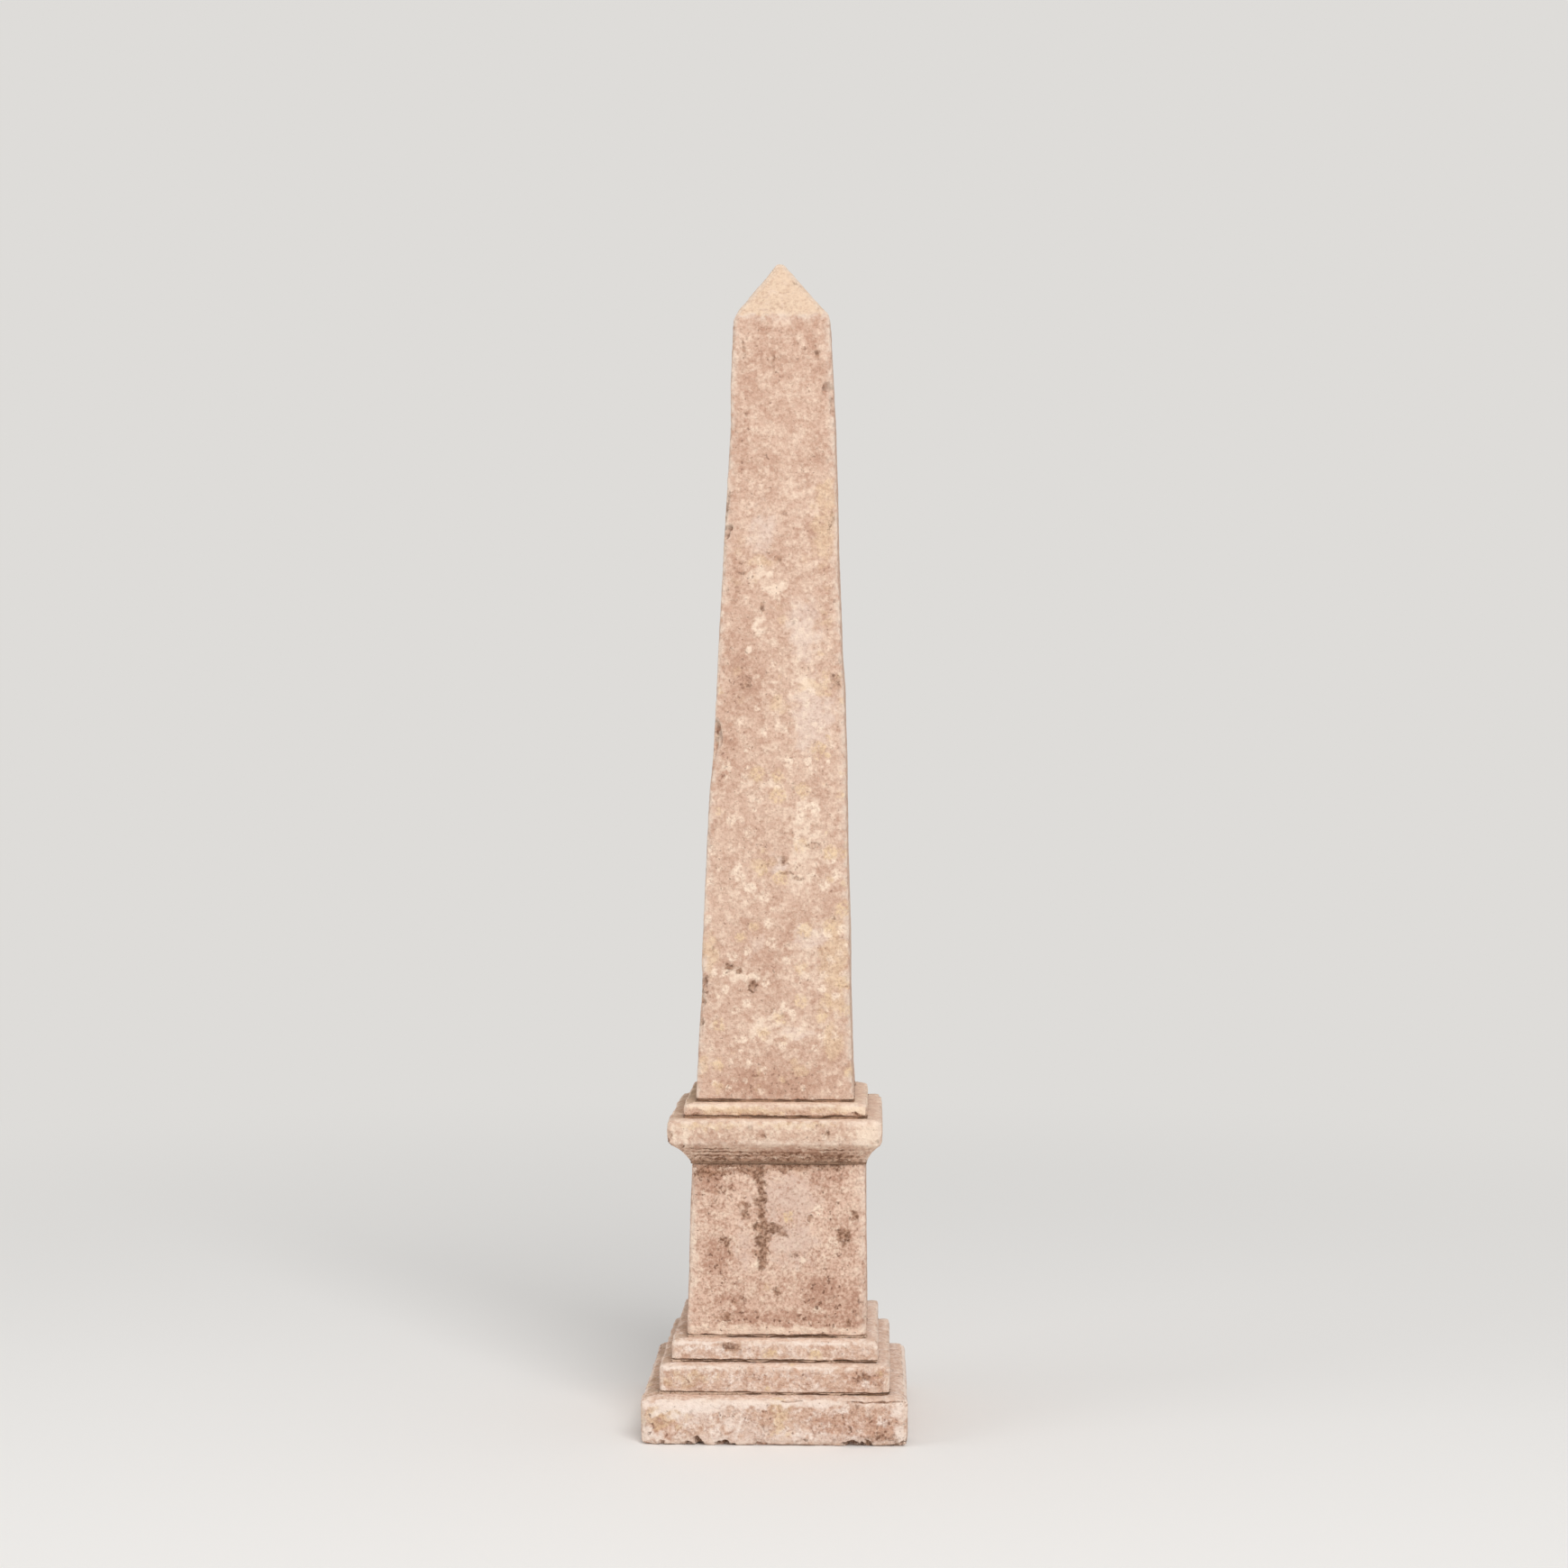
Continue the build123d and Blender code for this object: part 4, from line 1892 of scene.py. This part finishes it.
def obelisk_cornice() -> Cornice:
    """Describes the cornice: its soffit streaked with grime and painted shade, and its fascia bleached at
    both ends.

    Returns:
        The stone.
    """
    finish = WeatheredStone(
        "cornice stone",
        53.0,
        rosiness=0.4,
        paleness=0.85,
        freckles=0.5,
        dust_and_shade_strength=0.4,
    )
    return Cornice(
        node="cornice",
        finish=finish,
        bed_below="cornice_bed",
        bed_above="needle_base_bed",
        pitch=1.4 * MM,
        dents=(
            *chips((-101, 279, 16, 2.2), lean=(-1, 0), dirt=0.0),
            Dent(100 * MM, 300 * MM, 30 * MM, 6 * MM, (0.6, 1), 0.0, Face.RIGHT),
        ),
        marks=(
            # grime streaks on the soffit, which also paint the shade under the fascia
            *stains(Mask.GRIME, (0, 261, 150, 5, 0.8), (-40, 262, 44, 3), (26, 262, 60, 3.4)),
            *stains(Mask.GRIME, (56, 266, 34, 3.4), (-48, 266.5, 46, 1.8, 0.9), (-6, 267, 52, 1.6, 0.8)),
            *stains(Mask.GRIME, (24, 269.5, 70, 1.6, 0.8), (-40, 270.5, 60, 1.5, 0.8)),
            *stains(Mask.GRIME, (52, 273, 40, 1.4, 0.7), (-64, 274, 30, 1.4, 0.7)),
            *stains(Mask.GRIME, (-10, 287, 4, 4, 0.8), (48, 291, 5, 4, 0.7)),
            *stains(Mask.ROSE, (-61, 283, 36, 10, 0.7), (20, 270, 60, 6, 0.8), (55, 284, 26, 8, 0.3)),
            *stains(Mask.OCHRE, (-60, 297, 40, 5, 0.8), (20, 298, 60, 4, 0.8)),
            *stains(Mask.CREAM, (90, 290, 22, 20), (-92, 292, 14, 14, 0.7), (-10, 296, 90, 6, 0.5)),
        ),
        weather=SEASONED | {"Arris Depth": 2.6 * MM},
        seed=53,
    )


def obelisk_needle_base() -> Stone:
    """Describes the needle's base: a thin creamy slab, broken and dirty at its right.

    Returns:
        The stone.
    """
    finish = WeatheredStone(
        "needle base stone",
        61.0,
        cream=srgb(252, 228, 200),
        rosiness=0.3,
        paleness=1.0,
        freckles=0.4,
    )
    return Stone(
        node="needle_base",
        finish=finish,
        arris=2.5 * MM,
        bed_below="needle_base_bed",
        bed_above="needle_bed",
        per_side=145,
        dents=(Dent(86 * MM, 314 * MM, 30 * MM, 5 * MM, (0.6, 1), 0.0, Face.RIGHT),),
        marks=(
            *stains(Mask.OCHRE, (-30, 309, 60, 6, 0.8), (50, 310, 30, 6, 0.6)),
            *stains(Mask.ROSE, (14, 308, 20, 5, 0.7)),
            *stains(Mask.CREAM, (-60, 314, 40, 4), (74, 310, 18, 6)),
            *stains(Mask.GRIME, (80, 305, 8, 3, 0.9), (87, 308, 3, 7, 0.9), (-76, 305, 9, 2, 0.7)),
        ),
        weather=SEASONED,
        seed=61,
    )


def needle_bows() -> tuple[tuple[float, float, float], ...]:
    """Lists how the needle's sides bow.

    Returns:
        Knots of height, the left side's way along X and the right side's.
    """
    knots = (
        (317, 0, 0),
        (340, 0.5, -0.8),
        (400, 0.6, -0.9),
        (425, 1.2, -0.5),
        (450, -0.2, 0.1),
        (480, -0.5, 0.5),
        (545, -1.0, 0.7),
        (610, -0.9, 1.5),
        (640, 1.3, 2.3),
        (710, 1.3, 2.6),
        (740, 0.9, 1.2),
        (780, 1.3, 1.1),
        (840, 1.7, 0.6),
        (885, 2.0, 1.1),
        (960, 2.8, 1.2),
        (1000, 0.6, 0.5),
        (1060, 0.6, -0.3),
        (1121, 0, 0),
    )
    return tuple(tuple(size * MM for size in knot) for knot in knots)


def needle_marks() -> tuple[Mark, ...]:
    """Lists the marks on the needle's front: broad patches first, then blotches, then dirt.

    Returns:
        The marks.
    """
    return (
        *stains(Mask.ROSE, (2, 1036, 46, 30, 0.5), (0, 333, 78, 22, 0.9), (-30, 720, 26, 70, 0.7)),
        *stains(Mask.ROSE, (50, 1000, 10, 40, 0.4), (-36, 940, 14, 90, 0.6), (-40, 820, 14, 60, 0.6)),
        *stains(Mask.ROSE, (-50, 640, 14, 70, 0.55)),
        *stains(Mask.LILAC, (25, 764, 20, 38), (32, 684, 24, 46), (4, 540, 12, 10), (34, 473, 22, 15)),
        *stains(Mask.LILAC, (19, 381, 21, 8), (-14, 860, 18, 40, 0.7), (-18, 465, 14, 16, 0.5)),
        *stains(Mask.CREAM, (24, 730, 22, 110, 0.45), (28, 560, 24, 90, 0.5), (30, 450, 26, 60, 0.45)),
        *stains(Mask.CREAM, (20, 900, 20, 60, 0.3), (0, 385, 60, 20, 0.55), (-30, 520, 24, 40, 0.4)),
        *stains(Mask.OCHRE, (47, 896, 12, 14), (46, 858, 14, 46, 0.8), (-14, 829, 17, 5), (35, 710, 21, 8)),
        *stains(Mask.OCHRE, (2, 693, 13, 9), (-62, 457, 9, 26), (56, 457, 16, 48), (54, 408, 12, 12)),
        *stains(Mask.OCHRE, (54, 372, 13, 22), (22, 347, 10, 8), (-70, 350, 8, 10), (-14, 541, 12, 10)),
        *stains(Mask.CREAM, (-38, 1060, 10, 14, 0.5), (-17, 768, 9, 11, 0.9), (-14, 818, 13, 12, 0.7)),
        *stains(Mask.CREAM, (-1, 805, 15, 11, 0.8), (-6, 714, 10, 5, 0.6), (-11, 616, 20, 8, 0.6)),
        *stains(Mask.CREAM, (-23, 607, 9, 6, 0.6), (17, 520, 15, 10, 0.6), (-26, 745, 5, 5)),
        *stains(Mask.CREAM, (-38, 436, 14, 8, 0.8), (-22, 434, 8, 4), (-20, 720, 6, 6, 0.8)),
        *stains(Mask.GRIME, (-31, 1033, 3, 16, 0.6), (-5, 1020, 4, 12, 0.55), (40, 1028, 4, 8, 0.6)),
        *stains(Mask.GRIME, (-44, 891, 5, 6, 0.5), (-45, 877, 4, 8, 0.5), (52, 868, 6, 9, 0.7)),
        *stains(Mask.GRIME, (3, 832, 6, 5, 0.8), (-36, 801, 2.5, 2.5), (-31, 819, 9, 3, 0.6)),
        *stains(Mask.GRIME, (57, 711, 7, 10, 0.7), (-12, 786, 3, 10, 0.8), (-56, 664, 5, 12, 0.45)),
        *stains(Mask.GRIME, (37, 560, 9, 8, 0.4), (31, 558, 3, 3, 0.6), (6, 546, 7, 5, 0.8)),
        *stains(Mask.GRIME, (11, 532, 10, 2.5, 0.8), (21, 528, 7, 2.5, 0.8), (54, 489, 4, 5, 0.7)),
        *stains(Mask.GRIME, (-29, 711, 8, 9, 0.5), (8, 875, 5, 5, 0.5), (-35, 830, 5, 6, 0.5)),
        *stains(Mask.GRIME, (-45, 443, 4, 3), (-20, 425, 4, 4), (-67, 425, 6, 18, 0.6), (-2, 403, 2, 4, 0.8)),
    )


def obelisk_needle() -> Needle:
    """Describes the needle: spotted with lichen in its lower half, its pyramid bleached and painted paler as
    painted light.

    Returns:
        The stone.
    """
    finish = WeatheredStone(
        "needle stone",
        71.0,
        body=srgb(219, 185, 164),
        cream=srgb(253, 231, 209),
        ochre=srgb(236, 206, 169),
        edge=srgb(232, 214, 198),
        rosiness=0.52,
        freckles=0.5,
        paleness=0.58,
        lichen=0.9,
        lichen_reach=0.95,
        dirtiness=0.85,
    )
    return Needle(
        node="needle",
        finish=finish,
        arris=2.5 * MM,
        bed_below="needle_bed",
        pitch=2.05 * MM,
        per_side=58,
        bows=needle_bows(),
        dents=(
            *chips((-44, 444, 5.5, 3.2), (-34, 439, 3.5, 1.8), (-21, 426, 5.5, 3.2)),
            *chips((50, 990, 16, 2.4), lean=(1, 0), dirt=0.1),
            *chips((-69, 426, 15, 3), lean=(-1, 0), dirt=0.35),
            *chips((-48, 884, 12, 2.2), lean=(-1, 0), dirt=0.25),
            *chips((-57, 655, 16, 1.8), lean=(-1, 0), dirt=0.2),
        ),
        marks=needle_marks(),
        weather=SEASONED
        | {"Arris Depth": 1.9 * MM, "Arris Size": 11 * MM, "Pit Share": 0.06, "Swell Depth": 0.5 * MM},
        seed=71,
    )


def obelisk_stones() -> list[Stone]:
    """Lists the stones from the ground up.

    Returns:
        The stones, with their own damage and stains.
    """
    return [
        obelisk_plinth(),
        obelisk_lower_step(),
        obelisk_upper_step(),
        obelisk_die(),
        obelisk_cornice(),
        obelisk_needle_base(),
        obelisk_needle(),
    ]


def obelisk_beds() -> list[Bed]:
    """Lists the beds from the ground up.

    Returns:
        The beds, with their stretches of mortar in metres.
    """
    limy = DirtyBed("dirty bed", 5.0)
    brown = DirtyBed("stained bed", 6.0, mortar=srgb(168, 134, 110))
    whole = ((-1, 1),)
    return [
        Bed("lower_step_bed", limy, filled=((-0.112, -0.026), (0.05, 0.062)), seed=101),
        Bed("upper_step_bed", limy, filled=((-0.1, -0.09),), fill_share=0.25, seed=102),
        Bed("die_bed", limy, filled=((-0.09, -0.046),), fill_share=0.35, seed=103),
        Bed("cornice_bed", brown, filled=whole, fill_share=1.5, shy=-0.9 * MM, paleness=0.45, seed=104),
        Bed(
            "needle_base_bed",
            brown,
            filled=((-0.09, -0.02), (0.05, 0.072)),
            fill_share=0.5,
            packed=0.65,
            seed=105,
        ),
        Bed("needle_bed", brown, filled=((-0.034, 0.0), (0.034, 0.06)), fill_share=0.4, packed=0.7, seed=106),
    ]


# ------------------------------------------------------------------ the studio and the camera


@dataclass(frozen=True)
class Lamp:
    """A soft square lamp.

    Attributes:
        name: Its name.
        place: Where it hangs.
        size: How wide it is.
        power: Its power in watts.
        aim: What it shines on.
    """

    name: str
    place: tuple[float, float, float]
    size: float
    power: float
    aim: tuple[float, float, float] = (0.0, 0.0, 0.55)

    def hang(self) -> None:
        """Hangs it."""
        lamp = bpy.data.lights.new(self.name, "AREA")
        lamp.size = self.size
        lamp.energy = self.power
        hung = bpy.data.objects.new(self.name, lamp)
        hung.location = self.place
        hung.rotation_mode = "QUATERNION"
        hung.rotation_quaternion = (Vector(self.aim) - Vector(self.place)).to_track_quat("-Z", "Y")
        bpy.context.scene.collection.objects.link(hung)


@dataclass(frozen=True)
class Studio:
    """A plain pale floor under a soft light.

    Attributes:
        floor_reach: How far the floor spreads from the obelisk.
        key: The large lamp in front.
        fill: The lamp that fills the shade.
        sky: The colour of the light all round.
        sky_strength: How strong that light is.
        backdrop: The colour that shows behind the floor.
    """

    floor_reach: float = 14.0
    key: Lamp = Lamp("key lamp", (1.6, -4.1, 4.2), 2.8, 188.0)
    fill: Lamp = Lamp("fill lamp", (-2.6, -1.2, 1.6), 1.6, 14.0)
    sky: Colour = srgb(250, 250, 250)
    sky_strength: float = 0.54
    backdrop: Colour = srgb(222, 220, 217)

    def build(self) -> None:
        """Builds the floor, the lamps and the light all round."""
        self.lay_floor()
        self.key.hang()
        self.fill.hang()
        self.light_all_round()

    def lay_floor(self) -> None:
        """Lays the floor, with its top level with the obelisk's underside."""
        reach = self.floor_reach
        corners = [(-reach, -reach, 0), (reach, -reach, 0), (reach, reach, 0), (-reach, reach, 0)]
        mesh = bpy.data.meshes.new("studio_floor")
        mesh.from_pydata(corners, [], [(0, 1, 2, 3)])
        mesh.materials.append(StudioFloor(self.backdrop).build())
        place_piece("studio_floor", mesh)

    def light_all_round(self) -> None:
        """Lights the scene evenly all round, and shows the backdrop's colour to the camera."""
        world = bpy.data.worlds.new("studio")
        world.use_nodes = True
        graph = Graph(world.node_tree)
        light = graph.node("ShaderNodeBackground", {"Color": self.sky, "Strength": self.sky_strength})
        shown = graph.node("ShaderNodeBackground", {"Color": self.backdrop, "Strength": 1.0})
        seen = graph.node("ShaderNodeLightPath").outputs["Is Camera Ray"]
        mixed = graph.node("ShaderNodeMixShader", {0: seen, 1: light.outputs[0], 2: shown.outputs[0]})
        graph.node("ShaderNodeOutputWorld", {"Surface": mixed.outputs[0]})
        bpy.context.scene.world = world


@dataclass(frozen=True)
class Viewpoint:
    """Where the camera stands and what it looks at.

    Attributes:
        place: Where it stands.
        aim: The point in the middle of its view.
        lens: Its focal length in millimetres.
        sensor: How wide its sensor is in millimetres.
    """

    place: tuple[float, float, float] = (0.0939, -2.7381, 0.6765)
    aim: tuple[float, float, float] = (0.00568, 0.0, 0.61597)
    lens: float = 64.63
    sensor: float = 36.0

    def build(self) -> None:
        """Sets the camera up."""
        camera = bpy.data.cameras.new("camera")
        camera.lens = self.lens
        camera.sensor_width = self.sensor
        stand = bpy.data.objects.new("camera", camera)
        stand.location = self.place
        stand.rotation_mode = "QUATERNION"
        stand.rotation_quaternion = (Vector(self.aim) - Vector(self.place)).to_track_quat("-Z", "Y")
        bpy.context.scene.collection.objects.link(stand)
        bpy.context.scene.camera = stand


# ------------------------------------------------------------------ the whole


def report(pieces: list[bpy.types.Object]) -> None:
    """Reports each piece with its triangles, and how many there are in all.

    Args:
        pieces: The pieces.
    """
    counts = {piece.name: sum(len(face.vertices) - 2 for face in piece.data.polygons) for piece in pieces}
    for name, count in counts.items():
        log.info("%s: %d triangles", name, count)
    log.info("in all: %d triangles", sum(counts.values()))


def main() -> None:
    """Builds the obelisk's pieces in order, then the studio and the camera."""
    logging.basicConfig(level=logging.INFO, format="%(name)s: %(message)s")
    bpy.context.scene.view_settings.view_transform = "Standard"
    Viewpoint().build()
    groups, weather, crumbs = EffectGroups(), WeatherTree(), CrumbTree()
    pieces = [stone.build(weather, groups) for stone in obelisk_stones()]
    pieces += [bed.build(crumbs, groups) for bed in obelisk_beds()]
    report(pieces)
    Studio().build()


if __name__ == "__main__":
    main()
